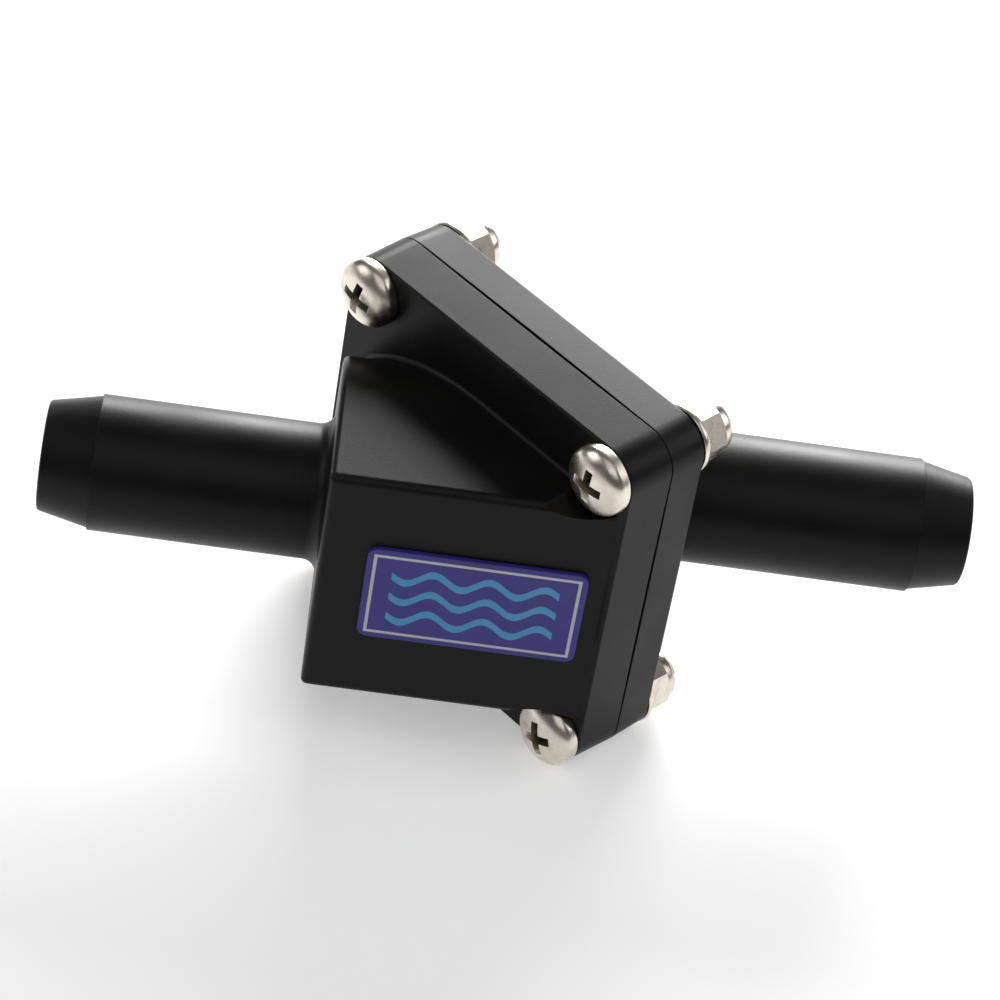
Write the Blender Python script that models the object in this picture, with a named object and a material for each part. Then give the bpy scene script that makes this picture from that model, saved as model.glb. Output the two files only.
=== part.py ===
"""In-line flap check valve: two moulded halves bolted together on a slanted square flange.

The valve lies on the foot of its flange. X runs along the hose tails towards the inlet, Y runs back from
the labelled flat, and Z is up. The flange stands upright, turned 45 degrees between X and Y. What belongs to
it is drawn in the flange's frame: u along its face towards the front, v up, and depth from the parting plane
towards the outlet, so that the inlet half has negative depths.
"""

import math

import bmesh
import bpy
from mathutils import Matrix, Vector

MM = 0.001

# Gap between pieces that touch, and the overlap of shapes that are fused into one piece
CONTACT_GAP = 0.3 * MM
FUSE = 1.5 * MM

# Hose tails
TAIL_DIAMETER = 19.0 * MM
TAIL_WALL = 3.0 * MM
TIP_LENGTH = 7.2 * MM
TIP_WALL = 1.15 * MM
TIP_SHOULDER = 0.3 * MM
TAIL_ROOT_FILLET = 2.0 * MM
OUTLET_REACH = 64.2 * MM
INLET_REACH = 65.5 * MM
OUTLET_TAIL_FORWARD = 5.5 * MM
INLET_TAIL_BACK = 4.6 * MM

# Slanted flange
FLANGE_ANGLE = math.radians(-45.0)
FLANGE_SIDE = 56.9 * MM
OUTLET_FLANGE_THICKNESS = 7.6 * MM
INLET_FLANGE_THICKNESS = 6.35 * MM
FLANGE_EDGE_ROUND = 0.4 * MM
PARTING_GAP = 0.5 * MM

# Screws, washers and lock nuts
SCREW_INSET = 5.05 * MM
SCREW_DIAMETER = 5.0 * MM
THREAD_CORE_DIAMETER = 4.2 * MM
THREAD_SHOWING = 1.6 * MM
SCREW_HOLE_CLEARANCE = 0.6 * MM
HEAD_DIAMETER = 10.0 * MM
HEAD_HEIGHT = 3.7 * MM
HEAD_RIM = 1.1 * MM
HEAD_RELIEF = 0.6 * MM
RECESS_SPAN = 5.2 * MM
RECESS_ARM = 1.3 * MM
RECESS_DEPTH = 2.2 * MM
RECESS_TAPER = 0.5
WASHER_DIAMETER = 10.0 * MM
WASHER_THICKNESS = 1.0 * MM
NUT_ACROSS_FLATS = 8.0 * MM
NUT_HEX_HEIGHT = 3.4 * MM
NUT_COLLAR_HEIGHT = 1.6 * MM
NUT_COLLAR_WALL = 0.45 * MM
NUT_COLLAR_INSET = 0.1 * MM
INSERT_THICKNESS = 1.1 * MM

# Outlet chamber
CHAMBER_REACH = 24.9 * MM
CHAMBER_WALL = 2.8 * MM
CHAMBER_EDGE_ROUND = 1.2 * MM
CHAMBER_INNER_ROUND = 0.2 * MM
SCREW_TO_CHAMBER = 4.1 * MM
FLANGE_LEDGE = 1.4 * MM

# Gasket, flap and seat
GASKET_THICKNESS = 2.0 * MM
GASKET_LAND = 1.45 * MM
GASKET_RIM = 3.4 * MM
GASKET_CORNER = 4.0 * MM
SEAT_DIAMETER = 18.0 * MM
SEAT_DEPTH = 3.7 * MM
SEAT_OVERLAP = 2.0 * MM
SEAT_BACK = 5.0 * MM
HINGE_FORWARD = 13.5 * MM
HINGE_WIDTH = 18.0 * MM
HINGE_THICKNESS = 1.2 * MM
FLAP_CLEARANCE = 1.5 * MM
POCKET_MARGIN = 1.0 * MM
POCKET_FLOOR = 1.0 * MM
WEIGHT_DIAMETER = 14.0 * MM
WEIGHT_HEIGHT = 5.0 * MM
BACKING_CLEARANCE = 2.5 * MM
BACKING_THICKNESS = 1.5 * MM
RIVET_DIAMETER = 3.0 * MM
RIVET_HEAD_DIAMETER = 5.4 * MM
RIVET_HEAD_HEIGHT = 1.0 * MM
RIVET_HEAD_RIM = 0.3 * MM

# Label plate
LABEL_LENGTH = 30.0 * MM
LABEL_HEIGHT = 15.9 * MM
LABEL_CORNER = 1.5 * MM
LABEL_THICKNESS = 0.4 * MM
LABEL_TOWARDS_INLET = 2.2 * MM
LABEL_RAISE = 0.35 * MM

# Smoothness of round shapes
TURN_STEPS = 48
SMALL_TURN_STEPS = 32
ARC_STEPS = 8
DOME_STEPS = 6
SMOOTH_BELOW = math.radians(35)
SAME_PLACE = 0.001 * MM

# Sizes that follow from the ones above
TAIL_RADIUS = TAIL_DIAMETER / 2
BORE_RADIUS = TAIL_RADIUS - TAIL_WALL
TIP_RADIUS = BORE_RADIUS + TIP_WALL
FLANGE_HALF = FLANGE_SIDE / 2
SCREW_OFFSET = FLANGE_HALF - SCREW_INSET
SCREW_HOLE_RADIUS = SCREW_DIAMETER / 2 + SCREW_HOLE_CLEARANCE / 2
CHAMBER_HALF_HEIGHT = SCREW_OFFSET - SCREW_TO_CHAMBER
CHAMBER_FRONT = (FLANGE_HALF - FLANGE_LEDGE + OUTLET_FLANGE_THICKNESS) / math.sqrt(2)
GASKET_HALF_THICKNESS = GASKET_THICKNESS / 2
GASKET_BED = GASKET_HALF_THICKNESS + CONTACT_GAP
GASKET_HALF_LENGTH = FLANGE_HALF - GASKET_RIM - CONTACT_GAP
GASKET_HALF_HEIGHT = SCREW_OFFSET - SCREW_HOLE_RADIUS - GASKET_LAND - CONTACT_GAP
FLAP_RADIUS = SEAT_DIAMETER / 2 + SEAT_OVERLAP
WINDOW_BACK = -SEAT_BACK - FLAP_RADIUS - FLAP_CLEARANCE
WINDOW_FRONT = HINGE_FORWARD + HINGE_THICKNESS / 2 + CONTACT_GAP
WINDOW_HALF_HEIGHT = FLAP_RADIUS + FLAP_CLEARANCE
RIVET_HOLE_RADIUS = RIVET_DIAMETER / 2 + CONTACT_GAP
THREAD_CORE_RADIUS = THREAD_CORE_DIAMETER / 2
NUT_HOLE_RADIUS = THREAD_CORE_RADIUS + CONTACT_GAP
NUT_COLLAR_RADIUS = NUT_ACROSS_FLATS / 2 - NUT_COLLAR_INSET
WASHER_TOP = INLET_FLANGE_THICKNESS + CONTACT_GAP + WASHER_THICKNESS
NUT_SEAT = WASHER_TOP + CONTACT_GAP
NUT_TOP = NUT_SEAT + NUT_HEX_HEIGHT + NUT_COLLAR_HEIGHT

# Placing of shapes that are drawn flat and swept along their own Z
SLANT = Matrix.Rotation(FLANGE_ANGLE, 4, "Z")
TO_FRONT = Matrix.Rotation(math.pi / 2, 4, "X")
TO_OUTLET = SLANT @ TO_FRONT
ALONG_TAILS = Matrix(((0, 0, 1, 0), (1, 0, 0, 0), (0, 1, 0, 0), (0, 0, 0, 1)))
TOWARDS_OUTLET = SLANT @ Vector((0, -1, 0))

SCREW_PLACES = {
    "top_back": (-SCREW_OFFSET, SCREW_OFFSET),
    "top_front": (SCREW_OFFSET, SCREW_OFFSET),
    "bottom_front": (SCREW_OFFSET, -SCREW_OFFSET),
    "bottom_back": (-SCREW_OFFSET, -SCREW_OFFSET),
}


def make_material(name, colour, roughness, metallic=0.0):
    """A plain finish for one kind of piece."""
    material = bpy.data.materials.new(name)
    material.use_nodes = True
    shader = material.node_tree.nodes["Principled BSDF"]
    shader.inputs["Base Color"].default_value = (*colour, 1.0)
    shader.inputs["Roughness"].default_value = roughness
    shader.inputs["Metallic"].default_value = metallic
    return material


def arc(centre, radius, start, end, steps=ARC_STEPS):
    """Points on an arc, with both ends, between two angles in degrees."""
    angles = [math.radians(start + (end - start) * step / steps) for step in range(steps + 1)]
    return [(centre[0] + radius * math.cos(a), centre[1] + radius * math.sin(a)) for a in angles]


def rounded_box(low, high, radius):
    """Outline of a rectangle with round corners."""
    (left, bottom), (right, top) = low, high
    corners = [
        ((right - radius, top - radius), 0),
        ((left + radius, top - radius), 90),
        ((left + radius, bottom + radius), 180),
        ((right - radius, bottom + radius), 270),
    ]
    return [point for centre, turn in corners for point in arc(centre, radius, turn, turn + 90)]


def ring(radius, steps=SMALL_TURN_STEPS, centre=(0.0, 0.0)):
    """Outline of a circle."""
    return arc(centre, radius, 0, 360, steps)[:-1]


def dome(radius, rim, top):
    """Profile of a domed head, from its middle at the top out to its rim."""
    angles = [math.pi / 2 * step / DOME_STEPS for step in range(DOME_STEPS + 1)]
    return [(radius * math.sin(a), rim + (top - rim) * math.cos(a)) for a in angles]


def prism(outline, low, high):
    """A flat outline swept along Z from low to high."""
    shape = bmesh.new()
    face = shape.faces.new([shape.verts.new((x, y, low)) for x, y in outline])
    swept = bmesh.ops.extrude_face_region(shape, geom=[face])["geom"]
    moved = [item for item in swept if isinstance(item, bmesh.types.BMVert)]
    bmesh.ops.translate(shape, verts=moved, vec=(0, 0, high - low))
    bmesh.ops.recalc_face_normals(shape, faces=shape.faces)
    return shape


def turned(profile, steps=TURN_STEPS):
    """A profile of (radius, height) points turned about Z; it starts and ends on the axis."""
    shape = bmesh.new()
    points = [shape.verts.new((radius, 0, height)) for radius, height in profile]
    lines = [shape.edges.new(pair) for pair in zip(points, points[1:])]
    bmesh.ops.spin(
        shape, geom=points + lines, axis=(0, 0, 1), cent=(0, 0, 0), angle=math.tau, steps=steps, use_merge=True
    )
    bmesh.ops.remove_doubles(shape, verts=shape.verts, dist=SAME_PLACE)
    bmesh.ops.recalc_face_normals(shape, faces=shape.faces)
    return shape


def round_end(shape, height, width, steps=2):
    """Rounds the edges of a prism's end face at the given height."""
    edges = [edge for edge in shape.edges if all(abs(v.co.z - height) < SAME_PLACE for v in edge.verts)]
    bmesh.ops.bevel(
        shape, geom=edges, offset=width, segments=steps, profile=0.5, affect="EDGES", clamp_overlap=True
    )


def trim(shape, depth, keep_outlet_side):
    """Cuts a shape off square to the flange, at a depth from the parting plane."""
    side = -1 if keep_outlet_side else 1
    bmesh.ops.bisect_plane(
        shape,
        geom=shape.verts[:] + shape.edges[:] + shape.faces[:],
        plane_co=TOWARDS_OUTLET * depth,
        plane_no=TOWARDS_OUTLET * side,
        clear_outer=True,
    )
    bmesh.ops.holes_fill(shape, edges=[edge for edge in shape.edges if edge.is_boundary])
    bmesh.ops.recalc_face_normals(shape, faces=shape.faces)


def make_object(name, shape, placing, parent, material=None):
    """An object from a drawn shape. One without a material only shapes others, and stays hidden."""
    shape.transform(placing)
    mesh = bpy.data.meshes.new(name)
    shape.to_mesh(mesh)
    shape.free()
    made = bpy.data.objects.new(name, mesh)
    bpy.context.scene.collection.objects.link(made)
    made.parent = parent
    if material is None:
        made.hide_render = True
        made.display_type = "WIRE"
        return made
    mesh.materials.append(material)
    mesh.shade_smooth()
    mesh.set_sharp_from_angle(angle=SMOOTH_BELOW)
    return made


def make_empty(name, parent=None, location=(0, 0, 0), turn=0.0):
    """A frame that pieces hang on."""
    empty = bpy.data.objects.new(name, None)
    bpy.context.scene.collection.objects.link(empty)
    empty.parent = parent
    empty.location = location
    empty.rotation_euler = (0, 0, turn)
    return empty


def combine(target, other, operation):
    """Fuses another shape into the target, or cuts it out."""
    step = target.modifiers.new(f"{operation.lower()} {other.name}", "BOOLEAN")
    step.operation = operation
    step.solver = "EXACT"
    step.object = other


def fuse(target, name, shape, placing):
    """Fuses a drawn shape into the target and returns it."""
    other = make_object(name, shape, placing, target.parent)
    combine(target, other, "UNION")
    return other


def cut(target, name, shape, placing):
    """Cuts a drawn shape out of the target."""
    combine(target, make_object(name, shape, placing, target.parent), "DIFFERENCE")


def at(across, up):
    """Placing at a point of the flange, swept towards the outlet."""
    return TO_OUTLET @ Matrix.Translation((across, up, 0))


def tail_placing(back, towards_inlet):
    """Placing of a turned tail on its own axis, drawn outwards from the valve's middle."""
    facing = Matrix.Identity(4) if towards_inlet else Matrix.Rotation(math.pi, 4, "Z")
    return Matrix.Translation((0, back, 0)) @ facing @ ALONG_TAILS


def tail_tip(reach):
    """Outer profile of a hose tail from its shoulder to the middle of its tip."""
    shoulder = reach - TIP_LENGTH
    return [
        (TAIL_RADIUS, shoulder),
        (TAIL_RADIUS - TIP_SHOULDER, shoulder),
        (TIP_RADIUS, reach),
        (0, reach),
    ]


def bore(start, reach):
    """The passage through a tail, run out past its tip."""
    return prism(ring(BORE_RADIUS, TURN_STEPS), start, reach + FUSE)


def chamber_outline(inset):
    """The chamber's section: flat in front, round at the back about the outlet tail."""
    front = -CHAMBER_FRONT + inset
    half_height = CHAMBER_HALF_HEIGHT - inset
    corner = max(CHAMBER_EDGE_ROUND - inset, CHAMBER_INNER_ROUND)
    back = arc((-OUTLET_TAIL_FORWARD, 0), half_height, -90, 90, 2 * TURN_STEPS // 3)
    top = arc((front + corner, half_height - corner), corner, 90, 180, ARC_STEPS // 2)
    bottom = arc((front + corner, corner - half_height), corner, 180, 270, ARC_STEPS // 2)
    return back + top + bottom


def flange_plate(thickness):
    """One half of the flange, from the parting gap out to its face."""
    outline = rounded_box((-FLANGE_HALF, -FLANGE_HALF), (FLANGE_HALF, FLANGE_HALF), SCREW_INSET)
    plate = prism(outline, PARTING_GAP / 2, thickness)
    round_end(plate, thickness, FLANGE_EDGE_ROUND)
    return plate


def gasket_bed():
    """The shallow bed that one half of the flange has for the gasket."""
    length = GASKET_HALF_LENGTH + CONTACT_GAP
    height = GASKET_HALF_HEIGHT + CONTACT_GAP
    return prism(rounded_box((-length, -height), (length, height), GASKET_CORNER), -GASKET_BED, GASKET_BED)


def cut_screw_holes(body):
    """Cuts the four screw holes through a half of the flange."""
    reach = OUTLET_FLANGE_THICKNESS + FUSE
    for place, (across, up) in SCREW_PLACES.items():
        hole = prism(ring(SCREW_HOLE_RADIUS), -reach, reach)
        cut(body, f"{body.name} hole {place}", hole, at(across, up))


def make_outlet_body(valve, plastic):
    """The outlet half: flange, flap chamber and hose tail in one moulding."""
    body = make_object("outlet_body", flange_plate(OUTLET_FLANGE_THICKNESS), TO_OUTLET, valve, plastic)

    block = prism(chamber_outline(0), -CHAMBER_REACH, CHAMBER_REACH + FLANGE_HALF)
    round_end(block, -CHAMBER_REACH, CHAMBER_EDGE_ROUND)
    block.transform(ALONG_TAILS)
    trim(block, OUTLET_FLANGE_THICKNESS - FLANGE_LEDGE / 2, True)
    chamber = fuse(body, "chamber block", block, Matrix.Identity(4))
    for place, (across, up) in SCREW_PLACES.items():
        relief = prism(ring(HEAD_DIAMETER / 2 + HEAD_RELIEF), 0, FLANGE_SIDE)
        cut(chamber, f"head relief {place}", relief, at(across, up))

    tail_axis = tail_placing(-OUTLET_TAIL_FORWARD, False)
    root = [(0, CHAMBER_REACH - FUSE), (TAIL_RADIUS + TAIL_ROOT_FILLET, CHAMBER_REACH - FUSE)]
    fillet_centre = (TAIL_RADIUS + TAIL_ROOT_FILLET, CHAMBER_REACH + TAIL_ROOT_FILLET)
    fillet = arc(fillet_centre, TAIL_ROOT_FILLET, 270, 180)
    fuse(body, "outlet tail", turned(root + fillet + tail_tip(OUTLET_REACH)), tail_axis)

    cavity = prism(chamber_outline(CHAMBER_WALL), CHAMBER_WALL - CHAMBER_REACH, CHAMBER_REACH + FLANGE_HALF)
    cavity.transform(ALONG_TAILS)
    trim(cavity, OUTLET_FLANGE_THICKNESS - POCKET_FLOOR - FUSE / 2, True)
    cut(body, "chamber cavity", cavity, Matrix.Identity(4))

    low = (WINDOW_BACK - POCKET_MARGIN, -WINDOW_HALF_HEIGHT - POCKET_MARGIN)
    high = (WINDOW_FRONT + POCKET_MARGIN, WINDOW_HALF_HEIGHT + POCKET_MARGIN)
    pocket = prism(rounded_box(low, high, GASKET_CORNER), 0, OUTLET_FLANGE_THICKNESS - POCKET_FLOOR)
    cut(body, "flap pocket", pocket, TO_OUTLET)
    cut(body, "outlet gasket bed", gasket_bed(), TO_OUTLET)
    cut(body, "outlet bore", bore(CHAMBER_REACH - CHAMBER_WALL - FUSE, OUTLET_REACH), tail_axis)
    cut_screw_holes(body)


def make_inlet_body(valve, plastic):
    """The inlet half: flange, valve seat and hose tail in one moulding."""
    turn_over = Matrix.Rotation(math.pi, 4, "Y")
    body = make_object("inlet_body", flange_plate(INLET_FLANGE_THICKNESS), TO_OUTLET @ turn_over, valve, plastic)

    tail_axis = tail_placing(INLET_TAIL_BACK, True)
    tail = turned([(0, -INLET_REACH), (TAIL_RADIUS, -INLET_REACH)] + tail_tip(INLET_REACH))
    tail.transform(tail_axis)
    trim(tail, FUSE - INLET_FLANGE_THICKNESS, False)
    fuse(body, "inlet tail", tail, Matrix.Identity(4))

    seat = prism(ring(SEAT_DIAMETER / 2, TURN_STEPS), -GASKET_BED - SEAT_DEPTH, 0)
    cut(body, "seat", seat, at(-SEAT_BACK, 0))
    cut(body, "inlet gasket bed", gasket_bed(), TO_OUTLET)
    passage = bore(-INLET_REACH, INLET_REACH)
    passage.transform(tail_axis)
    trim(passage, FUSE - GASKET_BED - SEAT_DEPTH, False)
    cut(body, "inlet bore", passage, Matrix.Identity(4))
    cut_screw_holes(body)


def make_gasket(valve, rubber):
    """The rubber sheet clamped between the halves, with a window for the flap."""
    low = (-GASKET_HALF_LENGTH, -GASKET_HALF_HEIGHT)
    high = (GASKET_HALF_LENGTH, GASKET_HALF_HEIGHT)
    sheet = prism(rounded_box(low, high, GASKET_CORNER), -GASKET_HALF_THICKNESS, GASKET_HALF_THICKNESS)
    gasket = make_object("flap_gasket", sheet, TO_OUTLET, valve, rubber)
    low = (WINDOW_BACK, -WINDOW_HALF_HEIGHT)
    high = (WINDOW_FRONT, WINDOW_HALF_HEIGHT)
    window = prism(rounded_box(low, high, GASKET_CORNER), -GASKET_THICKNESS, GASKET_THICKNESS)
    cut(gasket, "flap window", window, TO_OUTLET)


def make_flap(hinge, rubber, steel, brass):
    """The flap and what is riveted to it, in the frame of its hinge."""
    disc_centre = -SEAT_BACK - HINGE_FORWARD
    on_disc = TO_FRONT @ Matrix.Translation((disc_centre, 0, 0))

    disc = prism(ring(FLAP_RADIUS, TURN_STEPS), -GASKET_HALF_THICKNESS, GASKET_HALF_THICKNESS)
    flap = make_object("flap", disc, on_disc, hinge, rubber)
    web = HINGE_THICKNESS / 2
    tongue_outline = [(disc_centre, web), (disc_centre, -web)] + arc((0, 0), web, -90, 90)
    tongue = prism(tongue_outline, -HINGE_WIDTH / 2, HINGE_WIDTH / 2)
    fuse(flap, "hinge tongue", tongue, Matrix.Identity(4))
    rivet_hole = prism(ring(RIVET_HOLE_RADIUS), -GASKET_THICKNESS, GASKET_THICKNESS)
    cut(flap, "flap rivet hole", rivet_hole, on_disc)

    weight_seat = GASKET_BED
    weight_top = weight_seat + WEIGHT_HEIGHT
    block = prism(ring(WEIGHT_DIAMETER / 2, TURN_STEPS), weight_seat, weight_top)
    round_end(block, weight_top, FLANGE_EDGE_ROUND)
    weight = make_object("flap_weight", block, on_disc, hinge, brass)
    hole = prism(ring(RIVET_HOLE_RADIUS), 0, weight_top + FUSE)
    cut(weight, "weight rivet hole", hole, on_disc)

    backing_top = -GASKET_BED
    backing_foot = backing_top - BACKING_THICKNESS
    backing_radius = SEAT_DIAMETER / 2 - BACKING_CLEARANCE
    plate = prism(ring(backing_radius, TURN_STEPS), backing_foot, backing_top)
    backing = make_object("flap_backing", plate, on_disc, hinge, steel)
    hole = prism(ring(RIVET_HOLE_RADIUS), backing_foot - FUSE, 0)
    cut(backing, "backing rivet hole", hole, on_disc)

    head = RIVET_HEAD_DIAMETER / 2
    shank = RIVET_DIAMETER / 2
    upper = weight_top + CONTACT_GAP
    lower = backing_foot - CONTACT_GAP
    upper_dome = dome(head, upper + RIVET_HEAD_RIM, upper + RIVET_HEAD_HEIGHT)
    lower_dome = dome(head, lower - RIVET_HEAD_RIM, lower - RIVET_HEAD_HEIGHT)
    profile = upper_dome + [(head, upper), (shank, upper), (shank, lower), (head, lower)] + lower_dome[::-1]
    make_object("flap_rivet", turned(profile, SMALL_TURN_STEPS), on_disc, hinge, steel)


def cross_recess(top):
    """A cross that narrows towards its foot, cut into a screw head from its top."""
    span = RECESS_SPAN / 2
    arm = RECESS_ARM / 2
    quarter = [(span, -arm), (span, arm), (arm, arm)]
    outline = []
    for turn in range(4):
        for x, y in quarter:
            for _ in range(turn):
                x, y = -y, x
            outline.append((x, y))
    shape = prism(outline, top - RECESS_DEPTH, top + FUSE)
    foot = [vert for vert in shape.verts if vert.co.z < top]
    bmesh.ops.scale(shape, verts=foot, vec=(RECESS_TAPER, RECESS_TAPER, 1.0))
    return shape


def make_screw(place, frame, steel):
    """A pan-head screw with a cross recess, its head on the outlet face."""
    under_head = OUTLET_FLANGE_THICKNESS + CONTACT_GAP
    head_top = under_head + HEAD_HEIGHT
    rim_top = under_head + HEAD_RIM
    head = HEAD_DIAMETER / 2
    profile = dome(head, rim_top, head_top) + [
        (head, under_head),
        (SCREW_DIAMETER / 2, under_head),
        (SCREW_DIAMETER / 2, -INLET_FLANGE_THICKNESS),
        (THREAD_CORE_RADIUS, -INLET_FLANGE_THICKNESS),
        (THREAD_CORE_RADIUS, -NUT_TOP - THREAD_SHOWING),
        (0, -NUT_TOP - THREAD_SHOWING),
    ]
    shape = turned(profile, SMALL_TURN_STEPS)
    screw = make_object(f"flange_screw_{place}", shape, TO_FRONT, frame, steel)
    cut(screw, f"cross recess {place}", cross_recess(head_top), TO_FRONT)


def make_washer(place, frame, steel):
    """A flat washer between the inlet face and the nut."""
    disc = prism(ring(WASHER_DIAMETER / 2), -WASHER_TOP, -INLET_FLANGE_THICKNESS - CONTACT_GAP)
    washer = make_object(f"flange_washer_{place}", disc, TO_FRONT, frame, steel)
    hole = prism(ring(SCREW_HOLE_RADIUS), -WASHER_TOP - FUSE, 0)
    cut(washer, f"washer hole {place}", hole, TO_FRONT)


def make_lock_nut(place, frame, steel, nylon):
    """A lock nut: a hexagon, a round collar on it, and the ring of nylon that the collar holds."""
    corner = NUT_ACROSS_FLATS / math.sqrt(3)
    hex_top = NUT_SEAT + NUT_HEX_HEIGHT
    hexagon = prism(ring(corner, 6), -hex_top, -NUT_SEAT)
    nut = make_object(f"lock_nut_{place}", hexagon, TO_FRONT, frame, steel)
    collar = prism(ring(NUT_COLLAR_RADIUS), -NUT_TOP, FUSE - hex_top)
    fuse(nut, f"nut collar {place}", collar, TO_FRONT)
    hole = prism(ring(NUT_HOLE_RADIUS), -NUT_TOP - FUSE, FUSE - NUT_SEAT)
    cut(nut, f"nut hole {place}", hole, TO_FRONT)

    pocket_radius = NUT_COLLAR_RADIUS - NUT_COLLAR_WALL
    insert_foot = NUT_TOP - INSERT_THICKNESS
    pocket = prism(ring(pocket_radius), -NUT_TOP - FUSE, CONTACT_GAP - insert_foot)
    cut(nut, f"insert pocket {place}", pocket, TO_FRONT)
    disc = prism(ring(pocket_radius - CONTACT_GAP), -NUT_TOP, -insert_foot)
    insert = make_object(f"nut_insert_{place}", disc, TO_FRONT, frame, nylon)
    hole = prism(ring(NUT_HOLE_RADIUS), -NUT_TOP - FUSE, FUSE - insert_foot)
    cut(insert, f"insert hole {place}", hole, TO_FRONT)


def make_label(valve, blue):
    """The plain label plate on the chamber's flat."""
    flat_end = CHAMBER_FRONT - OUTLET_FLANGE_THICKNESS * math.sqrt(2)
    middle = (flat_end - CHAMBER_REACH) / 2 + LABEL_TOWARDS_INLET
    low = (middle - LABEL_LENGTH / 2, LABEL_RAISE - LABEL_HEIGHT / 2)
    high = (middle + LABEL_LENGTH / 2, LABEL_RAISE + LABEL_HEIGHT / 2)
    face = CHAMBER_FRONT + CONTACT_GAP
    plate = prism(rounded_box(low, high, LABEL_CORNER), face, face + LABEL_THICKNESS)
    make_object("label_plate", plate, TO_FRONT, valve, blue)


def centre_over_origin(valve):
    """Moves the valve so that the middle of its box stands over the origin."""
    bpy.context.view_layer.update()
    graph = bpy.context.evaluated_depsgraph_get()
    points = []
    for piece in bpy.context.scene.objects:
        if piece.type == "MESH" and not piece.hide_render:
            seen = piece.evaluated_get(graph)
            points += [seen.matrix_world @ vert.co for vert in seen.data.vertices]
    for axis in (0, 1):
        reach = [point[axis] for point in points]
        valve.location[axis] -= (min(reach) + max(reach)) / 2


def main():
    """Builds the whole valve."""
    for old in list(bpy.data.objects):
        bpy.data.objects.remove(old, do_unlink=True)

    plastic = make_material("black moulded plastic", (0.018, 0.018, 0.02), 0.42)
    rubber = make_material("black rubber", (0.012, 0.012, 0.012), 0.75)
    steel = make_material("stainless steel", (0.68, 0.66, 0.6), 0.25, 1.0)
    brass = make_material("brass", (0.62, 0.45, 0.18), 0.35, 1.0)
    nylon = make_material("white nylon", (0.75, 0.74, 0.7), 0.5)
    blue = make_material("blue label", (0.06, 0.06, 0.32), 0.4)

    valve = make_empty("valve", location=(0, 0, FLANGE_HALF))
    make_outlet_body(valve, plastic)
    make_inlet_body(valve, plastic)
    make_gasket(valve, rubber)
    make_label(valve, blue)

    flange = make_empty("flange", valve, turn=FLANGE_ANGLE)
    make_flap(make_empty("flap hinge", flange, (HINGE_FORWARD, 0, 0)), rubber, steel, brass)
    for place, (across, up) in SCREW_PLACES.items():
        frame = make_empty(f"fastener {place}", flange, (across, 0, up))
        make_screw(place, frame, steel)
        make_washer(place, frame, steel)
        make_lock_nut(place, frame, steel, nylon)

    centre_over_origin(valve)


main()
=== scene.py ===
"""Looks of the in-line flap check valve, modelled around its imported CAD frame.

Sizes are in metres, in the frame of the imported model: X along the hose tails towards the inlet, Y back from the
labelled flat, Z up. Shapes that belong to the slanted flange are drawn in its own frame: x across the flange
towards the front, y up, z from the parting plane towards the outlet.
"""

from __future__ import annotations

import logging
import math
from collections.abc import Callable, Iterator, Sequence
from contextlib import contextmanager
from dataclasses import dataclass
from enum import Enum, IntEnum
from itertools import pairwise, permutations

import bmesh
import bpy
from mathutils import Matrix, Vector

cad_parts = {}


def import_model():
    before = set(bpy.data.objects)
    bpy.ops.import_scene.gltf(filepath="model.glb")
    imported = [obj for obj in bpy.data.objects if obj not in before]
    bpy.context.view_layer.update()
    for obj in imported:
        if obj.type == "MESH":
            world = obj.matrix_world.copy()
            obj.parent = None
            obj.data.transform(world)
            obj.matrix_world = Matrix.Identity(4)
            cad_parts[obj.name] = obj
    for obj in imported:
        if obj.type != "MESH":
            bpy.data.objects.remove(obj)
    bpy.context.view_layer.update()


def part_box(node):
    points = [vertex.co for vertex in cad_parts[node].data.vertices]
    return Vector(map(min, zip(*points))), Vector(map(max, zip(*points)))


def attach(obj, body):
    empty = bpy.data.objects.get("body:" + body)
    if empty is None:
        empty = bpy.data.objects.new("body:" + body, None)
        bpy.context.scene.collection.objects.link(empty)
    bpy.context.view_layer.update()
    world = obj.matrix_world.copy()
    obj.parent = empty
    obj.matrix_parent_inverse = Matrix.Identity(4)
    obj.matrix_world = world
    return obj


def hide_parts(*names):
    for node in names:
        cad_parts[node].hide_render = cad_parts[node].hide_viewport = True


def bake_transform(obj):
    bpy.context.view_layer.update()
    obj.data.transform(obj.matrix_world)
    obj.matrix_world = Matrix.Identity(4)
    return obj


log = logging.getLogger("check_valve")

MM = 0.001
SAME_PLACE = 0.001 * MM  # points closer than this are one
PAST = 2.0 * MM  # how far a tool runs past what it cuts
MID_ROUND = 0.3  # how far in the middle point of a small round lies, as a share of its width
CORNER = math.radians(30.0)  # faces that meet at more than this meet in a corner
CORNER_STEPS = 8  # faces round a corner of a bed, a pocket, a sheet or the label
DIRT_AND_SHADE = "recess_dirt_and_shade"  # the attribute that says how much dirt and painted shade darken a point of a recess

Profile = Sequence[tuple[float, float]]
Colour = tuple[float, float, float]
Place = tuple[Vector, Vector]  # a point of an outline, and the outward normal there
Piece = bpy.types.Object
Material = bpy.types.Material
Socket = bpy.types.NodeSocket
Edge = bmesh.types.BMEdge


class Element(Enum):
    """What a selection in edit mode is made of."""

    EDGE = "EDGE"
    FACE = "FACE"


class Axis(IntEnum):
    """The three coordinates of a point."""

    X = 0
    Y = 1
    Z = 2


class Join(Enum):
    """How one solid acts on another."""

    ADD = "UNION"
    REMOVE = "DIFFERENCE"
    KEEP_COMMON = "INTERSECT"


class Side(Enum):
    """The two ends of the valve, with the direction along X in which each lies."""

    OUTLET = -1
    INLET = 1


class Body(Enum):
    """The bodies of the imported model."""

    HOUSING = "housing"
    FLAP = "flap"


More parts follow.
